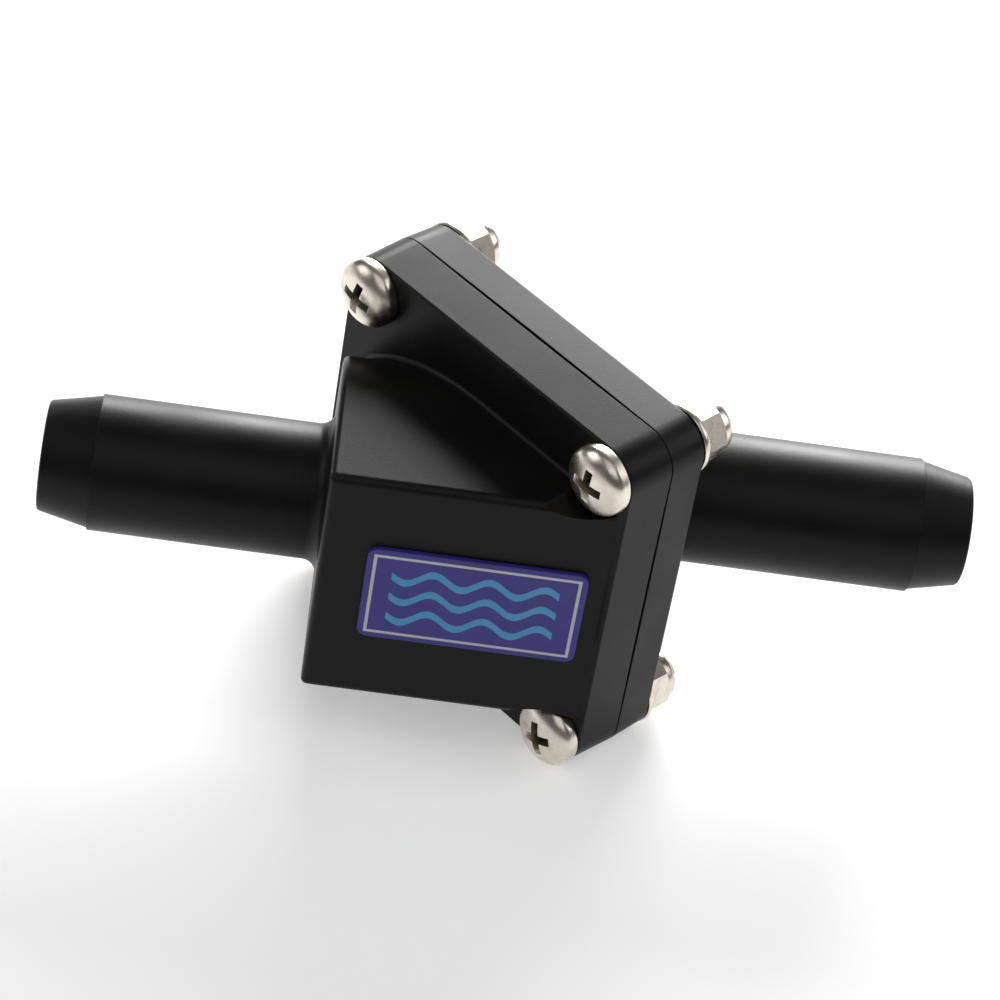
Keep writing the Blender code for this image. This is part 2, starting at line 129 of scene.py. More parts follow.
class Slot(Enum):
    """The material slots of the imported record."""

    PLASTIC = "black_plastic"
    RUBBER = "rubber"
    STEEL = "stainless"
    BRASS = "brass"
    NYLON = "nylon"
    LABEL = "label"


# Bench work


def clear_bench() -> None:
    """Deselects every object, so that the next step acts on nothing that came before."""
    bpy.ops.object.select_all(action="DESELECT")


def take(piece: Piece) -> None:
    """Makes a piece the active object and the only selected one.

    Args:
        piece: The piece to work on.
    """
    clear_bench()
    piece.select_set(True)
    bpy.context.view_layer.objects.active = piece


def settle(piece: Piece, placing: Matrix | None = None) -> Piece:
    """Moves a piece to its place and applies that to its mesh.

    Args:
        piece: The piece to place.
        placing: Where it goes, or None to apply the transform that it has.

    Returns:
        The same piece.
    """
    if placing is not None:
        piece.matrix_world = placing @ piece.matrix_world
    take(piece)
    bpy.ops.object.transform_apply(location=True, rotation=True, scale=True)
    return piece


def newest(name: str) -> Piece:
    """Names the primitive that was just added, and fixes its place in its mesh.

    Args:
        name: The name that it gets.

    Returns:
        The named piece.
    """
    piece = bpy.context.object
    piece.name = piece.data.name = name
    return settle(piece)


def add_object(name: str, data: bpy.types.ID) -> Piece:
    """Adds an object that holds a mesh, a lamp or a camera to the scene.

    Args:
        name: The object's name.
        data: What it holds.

    Returns:
        The object.
    """
    made = bpy.data.objects.new(name, data)
    bpy.context.scene.collection.objects.link(made)
    return made


def copy_of(piece: Piece, name: str, placing: Matrix) -> Piece:
    """Copies a piece, with a mesh of its own, to a place.

    Args:
        piece: The piece to copy.
        name: The copy's name.
        placing: Where the copy goes.

    Returns:
        The copy.
    """
    made = add_object(name, piece.data.copy())
    made.data.name = name
    return settle(made, placing)


@contextmanager
def shaping(piece: Piece) -> Iterator[None]:
    """Edit mode on one piece for the length of a with block.

    Args:
        piece: The piece to shape.

    Returns:
        The context for the with statement.
    """
    take(piece)
    bpy.ops.object.mode_set(mode="EDIT")
    try:
        yield
    finally:
        bpy.ops.object.mode_set(mode="OBJECT")


def pick(piece: Piece, element: Element, wanted: Callable[..., bool]) -> int:
    """Selects just those edges or faces of a piece in edit mode that a test accepts.

    Args:
        piece: The piece that is in edit mode.
        element: What to select.
        wanted: The test, given a bmesh edge or face.

    Returns:
        How many were selected.
    """
    bpy.ops.mesh.select_mode(type=element.value)
    bpy.ops.mesh.select_all(action="DESELECT")
    shape = bmesh.from_edit_mesh(piece.data)
    found = [item for item in (shape.edges if element is Element.EDGE else shape.faces) if wanted(item)]
    for item in found:
        item.select_set(True)
    bmesh.update_edit_mesh(piece.data)
    return len(found)


def runs_along(edge: Edge, axis: Axis = Axis.Z) -> bool:
    """Whether an edge's ends lie at two places along an axis."""
    return abs(edge.verts[0].co[axis] - edge.verts[1].co[axis]) > SAME_PLACE


def lies_at(item: Edge | bmesh.types.BMFace, place: float, axis: Axis = Axis.Z) -> bool:
    """Whether all points of an edge or a face lie at one place along an axis."""
    return all(abs(vert.co[axis] - place) < SAME_PLACE for vert in item.verts)


def is_corner(edge: Edge) -> bool:
    """Whether the faces at an edge meet in a corner."""
    return edge.calc_face_angle(0.0) > CORNER


def ease(width: float, segments: int, clamp: bool = True) -> None:
    """Rounds the edges that are picked in edit mode, less where they are crowded unless that is turned off."""
    bpy.ops.mesh.bevel(offset=width, segments=segments, profile=0.5, affect="EDGES", clamp_overlap=clamp)


def weld() -> None:
    """Merges the points of the piece in edit mode that lie at one place."""
    bpy.ops.mesh.select_all(action="SELECT")
    bpy.ops.mesh.remove_doubles(threshold=SAME_PLACE)


def face_outwards() -> None:
    """Turns all faces of the piece in edit mode outwards."""
    bpy.ops.mesh.select_all(action="SELECT")
    bpy.ops.mesh.normals_make_consistent(inside=False)


def slice_across(place: Sequence[float], normal: Sequence[float], clear: bool = False) -> None:
    """Cuts the piece in edit mode along a plane, and clears what lies on the normal's side where that is asked for."""
    bpy.ops.mesh.select_all(action="SELECT")
    bpy.ops.mesh.bisect(plane_co=place, plane_no=normal, use_fill=clear, clear_outer=clear)


def finish_with(piece: Piece, kind: str, **settings: object) -> None:
    """Gives a piece a modifier and applies it.

    Args:
        piece: The piece.
        kind: The modifier's type.
        settings: The modifier's settings.
    """
    take(piece)
    step = piece.modifiers.new(kind, kind)
    for name, value in settings.items():
        setattr(step, name, value)
    bpy.ops.object.modifier_apply(modifier=step.name)


def block(name: str, low: Sequence[float], high: Sequence[float]) -> Piece:
    """A box, as a start for a piece or a tool.

    Args:
        name: The box's name.
        low: Its lowest corner.
        high: Its highest corner.

    Returns:
        The box.
    """
    clear_bench()
    middle = [(a + b) / 2 for a, b in zip(low, high)]
    bpy.ops.mesh.primitive_cube_add(size=1, location=middle, scale=[b - a for a, b in zip(low, high)])
    return newest(name)


def rounded_block(name: str, low: Sequence[float], high: Sequence[float], corner: float, axis: Axis = Axis.Z,
                  steps: int = CORNER_STEPS) -> Piece:
    """A box whose four edges along one axis are rounded.

    Args:
        name: The box's name.
        low: Its lowest corner.
        high: Its highest corner.
        corner: Radius of the rounded edges.
        axis: The direction that they run in.
        steps: How many faces each has.

    Returns:
        The box.
    """
    piece = block(name, low, high)
    with shaping(piece):
        pick(piece, Element.EDGE, lambda edge: runs_along(edge, axis))
        ease(corner, steps)
    return piece


def rod(name: str, radius: float, low: float, high: float, segments: int) -> Piece:
    """A round bar along Z, as a start for a piece or a tool.

    Args:
        name: The bar's name.
        radius: Its radius.
        low: Height of its lower end.
        high: Height of its upper end.
        segments: How many sides it has.

    Returns:
        The bar.
    """
    clear_bench()
    bpy.ops.mesh.primitive_cylinder_add(
        vertices=segments, radius=radius, depth=high - low, location=(0, 0, (low + high) / 2)
    )
    return newest(name)


def turn_up(name: str, profile: Profile, segments: int, hollow: bool = False) -> Piece:
    """Turns a piece about Z by extruding a circle from point to point of its profile.

    Args:
        name: The piece's name.
        profile: Points of (radius, height). A hollow piece's profile ends where it starts.
        segments: How many sides the circle has.
        hollow: Whether the piece is a ring, with no caps.

    Returns:
        The closed piece.
    """
    radius, height = profile[0]
    clear_bench()
    bpy.ops.mesh.primitive_circle_add(
        vertices=segments, radius=radius, location=(0, 0, height), fill_type="NOTHING" if hollow else "NGON"
    )
    piece = newest(name)
    with shaping(piece):
        bpy.ops.mesh.select_all(action="SELECT")
        for (radius, height), (next_radius, next_height) in pairwise(profile):
            bpy.ops.mesh.extrude_region_move(TRANSFORM_OT_translate={"value": (0, 0, next_height - height)})
            grow = next_radius / radius
            bpy.ops.transform.resize(value=(grow, grow, 1), center_override=(0, 0, next_height))
        if hollow:
            weld()
        face_outwards()
        if bmesh.from_edit_mesh(piece.data).calc_volume(signed=True) < 0:
            bpy.ops.mesh.flip_normals()
    return piece


def combine(piece: Piece, tool: Piece, how: Join) -> None:
    """Fuses a tool into a piece, cuts it out of it or keeps what both fill, and uses the tool up.

    Args:
        piece: The piece.
        tool: The solid that acts on it.
        how: What it does.
    """
    finish_with(piece, "BOOLEAN", operation=how.value, solver="MANIFOLD", object=tool)
    bpy.data.meshes.remove(tool.data)
    with shaping(piece):
        weld()
        bpy.ops.mesh.dissolve_degenerate(threshold=SAME_PLACE)


def even_out(piece: Piece, sharp: float = 32.0) -> Piece:
    """Shades a finished piece smooth, with its flats kept flat.

    Args:
        piece: The piece.
        sharp: The angle in degrees from which an edge stays sharp.

    Returns:
        The same piece.
    """
    take(piece)
    bpy.ops.object.shade_smooth_by_angle(angle=math.radians(sharp))
    finish_with(piece, "WEIGHTED_NORMAL", keep_sharp=True, weight=80)
    return piece


def arc(centre: tuple[float, float], radius: float, start: float, end: float, steps: int) -> list[tuple[float, float]]:
    """Points on an arc, with both ends, between two angles in degrees."""
    angles = [math.radians(start + (end - start) * step / steps) for step in range(steps + 1)]
    return [(centre[0] + radius * math.cos(angle), centre[1] + radius * math.sin(angle)) for angle in angles]


def hand_over(piece: Piece, body: Body | None, finish: Material, node: str) -> None:
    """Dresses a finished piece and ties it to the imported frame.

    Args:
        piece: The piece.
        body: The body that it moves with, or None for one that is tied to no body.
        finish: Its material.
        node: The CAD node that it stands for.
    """
    piece.data.materials.clear()
    piece.data.materials.append(finish)
    if body is not None:
        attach(piece, body.value)
    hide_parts(node)
    log.info("%s: %d faces, for %s", piece.name, len(piece.data.polygons), node)


@dataclass(frozen=True)
class ValveFrame:
    """Where the valve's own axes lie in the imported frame.

    Attributes:
        centre: The middle of the parting plane.
        slant: How far the flange is turned about Z.
    """

    centre: Vector
    slant: float = math.radians(-45.0)

    @classmethod
    def from_gasket(cls) -> ValveFrame:
        """The frame about the middle of the gasket, which lies in the parting plane."""
        low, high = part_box("flap_gasket")
        return cls((low + high) / 2)

    @property
    def towards_outlet(self) -> Vector:
        """The flange's normal on its outlet face."""
        return Matrix.Rotation(self.slant, 3, "Z") @ Vector((0, -1, 0))

    def flange(self, across: float = 0.0, up: float = 0.0) -> Matrix:
        """Placing in the flange's frame, at a point of its parting plane."""
        turn = Matrix.Rotation(self.slant, 4, "Z") @ Matrix.Rotation(math.pi / 2, 4, "X")
        return Matrix.Translation(self.centre) @ turn @ Matrix.Translation((across, up, 0))

    def tail(self, side: Side, back: float) -> Matrix:
        """Placing on the axis of one hose tail, some way behind the centre, with Z pointing out of the tail."""
        turn = Matrix.Rotation(side.value * math.pi / 2, 4, "Y")
        return Matrix.Translation(self.centre + Vector((0, back, 0))) @ turn

    def depth(self, point: Vector) -> float:
        """How far a point lies from the parting plane towards the outlet."""
        return (point - self.centre).dot(self.towards_outlet)

    def trim(self, piece: Piece, depth: float, keep: Side) -> None:
        """Cuts a piece off square to the flange.

        Args:
            piece: The piece to cut.
            depth: Where the cut is, from the parting plane towards the outlet.
            keep: The side of the cut that stays.
        """
        with shaping(piece):
            slice_across(self.centre + self.towards_outlet * depth, self.towards_outlet * keep.value, clear=True)
            face_outwards()


# Finishes


class NodeSheet:
    """A material's nodes while a finish lays them out."""

    def __init__(self, name: str) -> None:
        """Starts a material with a Principled shader.

        Args:
            name: The material's name.
        """
        self.material = bpy.data.materials.new(name)
        self.material.use_nodes = True
        self.tree = self.material.node_tree
        self.shader = self.tree.nodes["Principled BSDF"]

    def add(self, kind: str, feeds: dict[str | int, object] | None = None, **settings: object) -> bpy.types.Node:
        """Adds a node.

        Args:
            kind: The node's type.
            feeds: What its inputs get, by name or number.
            settings: Its properties.

        Returns:
            The node.
        """
        node = self.tree.nodes.new(kind)
        for name, value in settings.items():
            setattr(node, name, value)
        for key, value in (feeds or {}).items():
            self.feed(node.inputs[key], value)
        return node

    def feed(self, socket: Socket, value: object) -> None:
        """Gives a socket a value, or links another socket to it.

        Args:
            socket: The socket to feed.
            value: A value of the socket's kind, or the socket to link.
        """
        if isinstance(value, Socket):
            self.tree.links.new(value, socket)
        else:
            socket.default_value = value

    def set(self, **values: object) -> None:
        """Feeds the shader's sockets, named with underscores for spaces."""
        for name, value in values.items():
            self.feed(self.shader.inputs[name.replace("_", " ")], value)

    def place(self, stretch: Sequence[float] = (1, 1, 1)) -> Socket:
        """Object coordinates, stretched along the axes."""
        place = self.add("ShaderNodeTexCoord").outputs["Object"]
        return self.add("ShaderNodeMapping", {"Vector": place, "Scale": stretch}).outputs["Vector"]

    def noise(self, size: float, detail: float = 2.0, at: Socket | None = None) -> Socket:
        """Noise with lumps of about a size in metres, at some coordinates or at plain object coordinates."""
        feeds = {"Vector": at or self.place(), "Scale": 1 / size, "Detail": detail}
        return self.add("ShaderNodeTexNoise", feeds).outputs["Fac"]

    def spread(self, value: Socket, low: float, high: float, *, start: float = 0.3, end: float = 0.7) -> Socket:
        """Maps a value from one range to another, held at its ends."""
        feeds = {"Value": value, "From Min": start, "From Max": end, "To Min": low, "To Max": high}
        return self.add("ShaderNodeMapRange", feeds, interpolation_type="SMOOTHSTEP").outputs["Result"]

    def math(self, operation: str, first: object, second: object = 0.0) -> Socket:
        """One step of arithmetic on sockets or numbers."""
        return self.add("ShaderNodeMath", {0: first, 1: second}, operation=operation).outputs[0]

    def mix(self, amount: Socket, low: object, high: object) -> Socket:
        """Mixes two colours, given as sockets or as red, green and blue."""
        ends = [(*colour, 1.0) if isinstance(colour, tuple) else colour for colour in (low, high)]
        return self.add("ShaderNodeMix", {"Factor": amount, 6: ends[0], 7: ends[1]}, data_type="RGBA").outputs[2]

    def edges(self, reach: float) -> Socket:
        """Tells a piece's edges from its flats.

        Args:
            reach: How far in from an edge the edge still counts.

        Returns:
            1 along the edges and 0 on the flats.
        """
        rounded = self.add("ShaderNodeBevel", {"Radius": reach}, samples=4).outputs["Normal"]
        plain = self.add("ShaderNodeNewGeometry").outputs["Normal"]
        facing = self.add("ShaderNodeVectorMath", {0: rounded, 1: plain}, operation="DOT_PRODUCT")
        return self.spread(facing.outputs["Value"], 1.0, 0.0, start=0.93, end=0.99)

    def bump(self, height: Socket, strength: float, depth: float, over: Socket | None = None) -> Socket:
        """A bumped normal.

        Args:
            height: Height of the relief, from 0 to 1.
            strength: How strongly it shows.
            depth: How deep it is in metres.
            over: Another bumped normal that it lies on.

        Returns:
            The normal.
        """
        node = self.add("ShaderNodeBump", {"Height": height, "Strength": strength, "Distance": depth})
        if over is not None:
            self.feed(node.inputs["Normal"], over)
        return node.outputs["Normal"]


@dataclass(frozen=True)
class MouldedPlastic:
    """Satin black plastic with the fine grain of a spark-eroded mould.

    Attributes:
        name: The material's name.
        colour: The plastic's own colour.
        worn: Its colour where handling has dulled it.
        rubbed: Its colour on edges that are rubbed bare.
        sheen_range: Roughness where it is smoothest and dullest.
        shine: How much it mirrors.
        edge_reach: How far wear reaches in from an edge.
        cloud_size: Size of the patches that differ in sheen.
        ripple_size: Size of the mould's faint unevenness.
        grain_size: Size of the grain.
        wear_size: Size of the rubbed spots.
    """

    name: str
    colour: Colour
    worn: Colour
    rubbed: Colour
    sheen_range: tuple[float, float]
    shine: float = 0.17
    edge_reach: float = 0.5 * MM
    cloud_size: float = 14 * MM
    ripple_size: float = 3.2 * MM
    grain_size: float = 0.34 * MM
    wear_size: float = 2.2 * MM

    def make(self) -> Material:
        """Lays out the material.

        Returns:
            The material.
        """
        sheet = NodeSheet(self.name)
        cloud = sheet.noise(self.cloud_size, detail=4)
        grain = sheet.noise(self.grain_size, detail=3)
        ripple = sheet.noise(self.ripple_size, detail=2)
        spots = sheet.spread(sheet.noise(self.wear_size, detail=4), 0.0, 1.0, start=0.42, end=0.62)
        wear = sheet.math("MULTIPLY", sheet.edges(self.edge_reach), spots)
        skin = sheet.mix(sheet.spread(cloud, 0.0, 1.0), self.colour, self.worn)
        uneven = sheet.math("ADD", sheet.math("MULTIPLY", cloud, 0.7), sheet.math("MULTIPLY", grain, 0.3))
        sheen = sheet.spread(uneven, *self.sheen_range)
        sheet.set(
            Base_Color=sheet.mix(wear, skin, self.rubbed),
            Roughness=sheet.math("ADD", sheen, sheet.math("MULTIPLY", wear, 0.12)),
            Normal=sheet.bump(grain, 0.22, 0.06 * MM, over=sheet.bump(ripple, 0.1, 0.08 * MM)),
            Specular_IOR_Level=self.shine,
        )
        return sheet.material


@dataclass(frozen=True)
class Metal:
    """Bare metal with smears in its polish, fine tool marks, and dirt and painted shade in its recesses.

    Attributes:
        name: The material's name.
        colour: The metal's colour.
        dull: Its colour where it is tarnished.
        roughness: Roughness of the cleanest and the dullest places.
        marks: How strong the tool marks are.
        dirt_and_shade_colour: Its colour where a piece's recess attribute for dirt and painted shade is 1.
        smear_size: Size of the smears.
        mark_size: Width of the tool marks.
        mark_stretch: How the marks are stretched along the axes.
    """

    name: str
    colour: Colour
    dull: Colour
    roughness: tuple[float, float]
    marks: float
    dirt_and_shade_colour: Colour = (0.035, 0.028, 0.022)
    smear_size: float = 2.4 * MM
    mark_size: float = 0.25 * MM
    mark_stretch: tuple[float, float, float] = (1.0, 1.0, 0.15)

    def make(self) -> Material:
        """Lays out the material.

        Returns:
            The material.
        """
        sheet = NodeSheet(self.name)
        smear = sheet.noise(self.smear_size, detail=3)
        marks = sheet.noise(self.mark_size, detail=2, at=sheet.place(self.mark_stretch))
        # Recesses get a darker, rougher colour: partly dirt, partly painted shade.
        recess_dirt_and_shade = sheet.add("ShaderNodeAttribute", attribute_name=DIRT_AND_SHADE).outputs["Fac"]
        polish = sheet.mix(sheet.spread(smear, 0.0, 1.0, start=0.45, end=0.75), self.colour, self.dull)
        sheet.set(
            Base_Color=sheet.mix(recess_dirt_and_shade, polish, self.dirt_and_shade_colour),
            Metallic=1.0,
            Roughness=sheet.math("ADD", sheet.spread(smear, *self.roughness), sheet.math("MULTIPLY", recess_dirt_and_shade, 0.25)),
            Normal=sheet.bump(marks, self.marks, 0.02 * MM),
        )
        return sheet.material


@dataclass(frozen=True)
class Rubber:
    """Black moulded rubber with a dusty bloom."""

    name: str
    colour: Colour
    bloom: Colour
    bloom_size: float = 5 * MM
    skin_size: float = 0.5 * MM

    def make(self) -> Material:
        """Lays out the material.

        Returns:
            The material.
        """
        sheet = NodeSheet(self.name)
        dust = sheet.noise(self.bloom_size, detail=5)
        sheet.set(
            Base_Color=sheet.mix(sheet.spread(dust, 0.0, 1.0), self.colour, self.bloom),
            Roughness=sheet.spread(dust, 0.62, 0.82),
            Normal=sheet.bump(sheet.noise(self.skin_size, detail=3), 0.25, 0.08 * MM),
        )
        return sheet.material


@dataclass(frozen=True)
class Nylon:
    """Natural nylon, faintly cloudy."""

    name: str
    colour: Colour
    shade: Colour
    cloud_size: float = 1.5 * MM
    skin_size: float = 0.2 * MM

    def make(self) -> Material:
        """Lays out the material.

        Returns:
            The material.
        """
        sheet = NodeSheet(self.name)
        cloud = sheet.noise(self.cloud_size, detail=3)
        sheet.set(
            Base_Color=sheet.mix(sheet.spread(cloud, 0.0, 1.0), self.colour, self.shade),
            Roughness=sheet.spread(cloud, 0.36, 0.5),
            Normal=sheet.bump(sheet.noise(self.skin_size), 0.1, 0.03 * MM),
        )
        return sheet.material


@dataclass(frozen=True)
class PrintedFilm:
    """Printed plastic film with a pale border line and three waves.

    Attributes:
        name: The material's name.
        field: Colour of the printed ground.
        ink: Colour of the border.
        tint: Colour of the waves.
        centre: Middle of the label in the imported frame.
        half: Half the label's length and height.
        faded: How much of the ground's colour is left where it has faded.
        soft: How far a printed edge is blurred to each side.
        fade_size: Size of the faded patches.
        sheen_size: Size of the patches that differ in sheen.
        relief_size: Size of the film's unevenness.
    """

    name: str
    field: Colour
    ink: Colour
    tint: Colour
    centre: tuple[float, float]
    half: tuple[float, float]
    border_inset: float = 1.1 * MM
    border_width: float = 0.45 * MM
    wave_length: float = 7.6 * MM
    wave_height: float = 1.0 * MM
    wave_width: float = 1.25 * MM
    wave_pitch: float = 3.6 * MM
    wave_reach: float = 11.4 * MM
    faded: float = 0.82
    soft: float = 0.06 * MM
    fade_size: float = 9 * MM
    sheen_size: float = 4 * MM
    relief_size: float = 0.8 * MM

    def make(self) -> Material:
        """Lays out the material.

        Returns:
            The material.
        """
        sheet = NodeSheet(self.name)
        axes = sheet.add("ShaderNodeSeparateXYZ", {0: sheet.place()}).outputs
        along, up = (sheet.math("SUBTRACT", axes[axis], middle) for axis, middle in zip("XZ", self.centre))
        fade = sheet.spread(sheet.noise(self.fade_size, detail=3), 0.0, 1.0)
        ground = sheet.mix(fade, self.field, tuple(self.faded * part for part in self.field))
        tinted = sheet.mix(self._waves(sheet, along, up), ground, self.tint)
        sheet.set(
            Base_Color=sheet.mix(self._border(sheet, along, up), tinted, self.ink),
            Roughness=sheet.spread(sheet.noise(self.sheen_size, detail=3), 0.3, 0.42),
            Normal=sheet.bump(sheet.noise(self.relief_size, detail=2), 0.12, 0.05 * MM),
        )
        return sheet.material

    def _within(self, sheet: NodeSheet, distance: Socket, reach: float) -> Socket:
        """1 where a distance from 0 is less than a reach, and 0 elsewhere."""
        away = sheet.math("ABSOLUTE", distance)
        return sheet.spread(away, 1.0, 0.0, start=reach - self.soft, end=reach + self.soft)

    def _border(self, sheet: NodeSheet, along: Socket, up: Socket) -> Socket:
        """The line that runs round the label inside its edge.

        Args:
            sheet: The material's nodes.
            along: How far along the label a point lies from the middle.
            up: How far above the middle it lies.

        Returns:
            1 on the line and 0 elsewhere.
        """
        sides = [
            sheet.math("SUBTRACT", sheet.math("ABSOLUTE", place), half - self.border_inset)
            for place, half in zip((along, up), self.half)
        ]
        return self._within(sheet, sheet.math("MAXIMUM", *sides), self.border_width / 2)

    def _waves(self, sheet: NodeSheet, along: Socket, up: Socket) -> Socket:
        """Three waves, one above the other.

        Args:
            sheet: The material's nodes.
            along: How far along the label a point lies from the middle.
            up: How far above the middle it lies.

        Returns:
            1 on the waves and 0 elsewhere.
        """
        swing = sheet.math("SINE", sheet.math("MULTIPLY", along, math.tau / self.wave_length))
        level = sheet.math("SUBTRACT", up, sheet.math("MULTIPLY", swing, self.wave_height))
        low, middle, high = (
            self._within(sheet, sheet.math("SUBTRACT", level, row * self.wave_pitch), self.wave_width / 2)
            for row in (-1, 0, 1)
        )
        waves = sheet.math("MAXIMUM", sheet.math("MAXIMUM", low, middle), high)
        return sheet.math("MULTIPLY", waves, self._within(sheet, along, self.wave_reach))


# Moulded halves


@dataclass(frozen=True)
class HoseTail:
    """A straight hose tail with a coned tip.

    Attributes:
        side: Which end of the valve it is on.
        back: How far behind the centre its axis lies.
        reach: How far its tip is from the centre, along X.
    """

    side: Side
    back: float
    reach: float
    radius: float = 9.5 * MM
    bore: float = 6.5 * MM
    tip_radius: float = 7.65 * MM
    tip_length: float = 7.2 * MM
    shoulder: float = 0.3 * MM
    edge: float = 0.14 * MM
    tip_edge: float = 0.35 * MM
    root_fillet: float = 2.0 * MM
    segments: int = 128

    def _turned(self, name: str, frame: ValveFrame, profile: Profile) -> Piece:
        """A solid turned about the tail's axis."""
        return settle(turn_up(name, profile, self.segments), frame.tail(self.side, self.back))

    def solid(self, name: str, frame: ValveFrame, start: float, wall: float | None = None) -> Piece:
        """The outside of the tail.

        Args:
            name: Name of the solid.
            frame: The valve's frame.
            start: How far from the centre it begins, inside what it is fused to.
            wall: Where the face that it grows out of lies, for a fillet at its root.

        Returns:
            The placed solid.
        """
        root: list[tuple[float, float]] = [(self.radius, start)]
        if wall is not None:
            foot = self.radius + self.root_fillet
            root = [(foot, start)] + arc((foot, wall + self.root_fillet), self.root_fillet, 270, 180, 10)
        shoulder = self.reach - self.tip_length
        slope = (self.radius - self.shoulder - self.tip_radius) / self.tip_length
        mid_edge, mid_tip = MID_ROUND * self.edge, MID_ROUND * self.tip_edge
        return self._turned(name, frame, [
            *root,
            (self.radius, shoulder - self.edge),
            (self.radius - mid_edge, shoulder - mid_edge),
            (self.radius - self.edge, shoulder),
            (self.radius - self.shoulder, shoulder + mid_edge),
            (self.tip_radius + slope * self.tip_edge, self.reach - self.tip_edge),
            (self.tip_radius - mid_tip, self.reach - mid_tip),
            (self.tip_radius - self.tip_edge, self.reach),
        ])

    def passage(self, name: str, frame: ValveFrame, start: float) -> Piece:
        """The tool that bores the tail out, with a countersunk mouth.

        Args:
            name: Name of the tool.
            frame: The valve's frame.
            start: How far from the centre it begins.

        Returns:
            The placed tool.
        """
        mid_tip = MID_ROUND * self.tip_edge
        return self._turned(name, frame, [
            (self.bore, start),
            (self.bore, self.reach - self.tip_edge),
            (self.bore + mid_tip, self.reach - mid_tip),
            (self.bore + self.tip_edge, self.reach),
            (self.bore + self.tip_edge, self.reach + PAST),
        ])


@dataclass(frozen=True)
class FlangeHalf:
    """One half of the square flange, with its four screw holes and its bed for the gasket.

    Attributes:
        face: How far its outer face lies from the parting plane.
        gap: Half the parting gap at the corners, where the screws draw the halves together.
        bow: How much wider that is at the middle of a side.
        draft: How far its sides lean in towards the outer face, so that it leaves its mould.
        strip: How wide the strips are that the plate is divided into, so that it can bow.
        lines: How many lines divide it on each side of the middle one.
    """

    face: float
    half: float = 28.45 * MM
    corner: float = 5.05 * MM
    edge: float = 0.4 * MM
    gap: float = 0.02 * MM
    bow: float = 0.19 * MM
    draft: float = math.radians(1.4)
    gap_edge: float = 0.1 * MM
    strip: float = 4.4 * MM
    lines: int = 5
    hole: float = 2.8 * MM
    bed_half: tuple[float, float] = (25.05 * MM, 19.15 * MM)
    bed_depth: float = 1.3 * MM
    bed_corner: float = 4.0 * MM

    @property
    def screws(self) -> dict[str, tuple[float, float]]:
        """Where the screws are.

        Returns:
            Each screw's place across the flange and up, by the name of its corner.
        """
        offset = self.half - self.corner
        return {
            "top_back": (-offset, offset),
            "top_front": (offset, offset),
            "bottom_front": (offset, -offset),
            "bottom_back": (-offset, -offset),
        }

    def solid(self, name: str, frame: ValveFrame, side: Side) -> Piece:
        """The plate, from the parting gap out to its face, with all its edges eased.

        Args:
            name: Name of the solid.
            frame: The valve's frame.
            side: Which half it is.

        Returns:
            The placed plate.
        """
        plate = block(name, (-self.half, -self.half, self.gap), (self.half, self.half, self.face))
        with shaping(plate):
            for direction in ((1, 0, 0), (0, 1, 0)):
                for step in range(-self.lines, self.lines + 1):
                    slice_across(Vector(direction) * step * self.strip, direction)
            pick(plate, Element.EDGE, lambda edge: is_corner(edge) and runs_along(edge))
            ease(self.corner, 14)
            for height, width, segments in ((self.face, self.edge, 5), (self.gap, self.gap_edge, 3)):
                pick(plate, Element.EDGE, lambda edge: is_corner(edge) and lies_at(edge, height))
                ease(width, segments)
            self._bow_and_lean(plate)
            pick(plate, Element.FACE, lambda face: lies_at(face, self.face))
            bpy.ops.mesh.dissolve_faces()
        turn = Matrix.Rotation(0.0 if side is Side.OUTLET else math.pi, 4, "Y")
        return settle(plate, frame.flange() @ turn)

    def _bow_and_lean(self, plate: Piece) -> None:
        """Draws the parting face back between the corners and leans the sides in.

        Args:
            plate: The plate, in edit mode.
        """
        shape = bmesh.from_edit_mesh(plate.data)
        for vert in shape.verts:
            if vert.co.z < self.gap + self.gap_edge + SAME_PLACE:
                share = min(abs(vert.co.x), abs(vert.co.y)) / self.half
                vert.co.z += self.bow * (1 - share**2)
            lean = 1 - vert.co.z * math.tan(self.draft) / self.half
            vert.co.x *= lean
            vert.co.y *= lean
        bmesh.update_edit_mesh(plate.data)

    def drill(self, body: Piece, frame: ValveFrame, name: str, radius: float, low: float, high: float,
              segments: int) -> None:
        """Drills a hole at every screw.

        Args:
            body: The moulding to drill.
            frame: The valve's frame.
            name: What the tools' names start with.
            radius: The hole's radius.
            low: Where it starts, from the parting plane towards the outlet.
            high: Where it ends.
            segments: How many sides it has.
        """
        for place, (across, up) in self.screws.items():
            tool = rod(f"{name}_{place}", radius, low, high, segments)
            combine(body, settle(tool, frame.flange(across, up)), Join.REMOVE)

    def cut_bed(self, body: Piece, frame: ValveFrame) -> None:
        """Cuts the gasket's bed and the screw holes.

        Args:
            body: The moulding to cut.
            frame: The valve's frame.
        """
        high = (*self.bed_half, self.bed_depth)
        bed = rounded_block("gasket_bed", [-place for place in high], high, self.bed_corner)
        combine(body, settle(bed, frame.flange()), Join.REMOVE)
        self.drill(body, frame, "hole", self.hole, -self.face - PAST, self.face + PAST, 48)


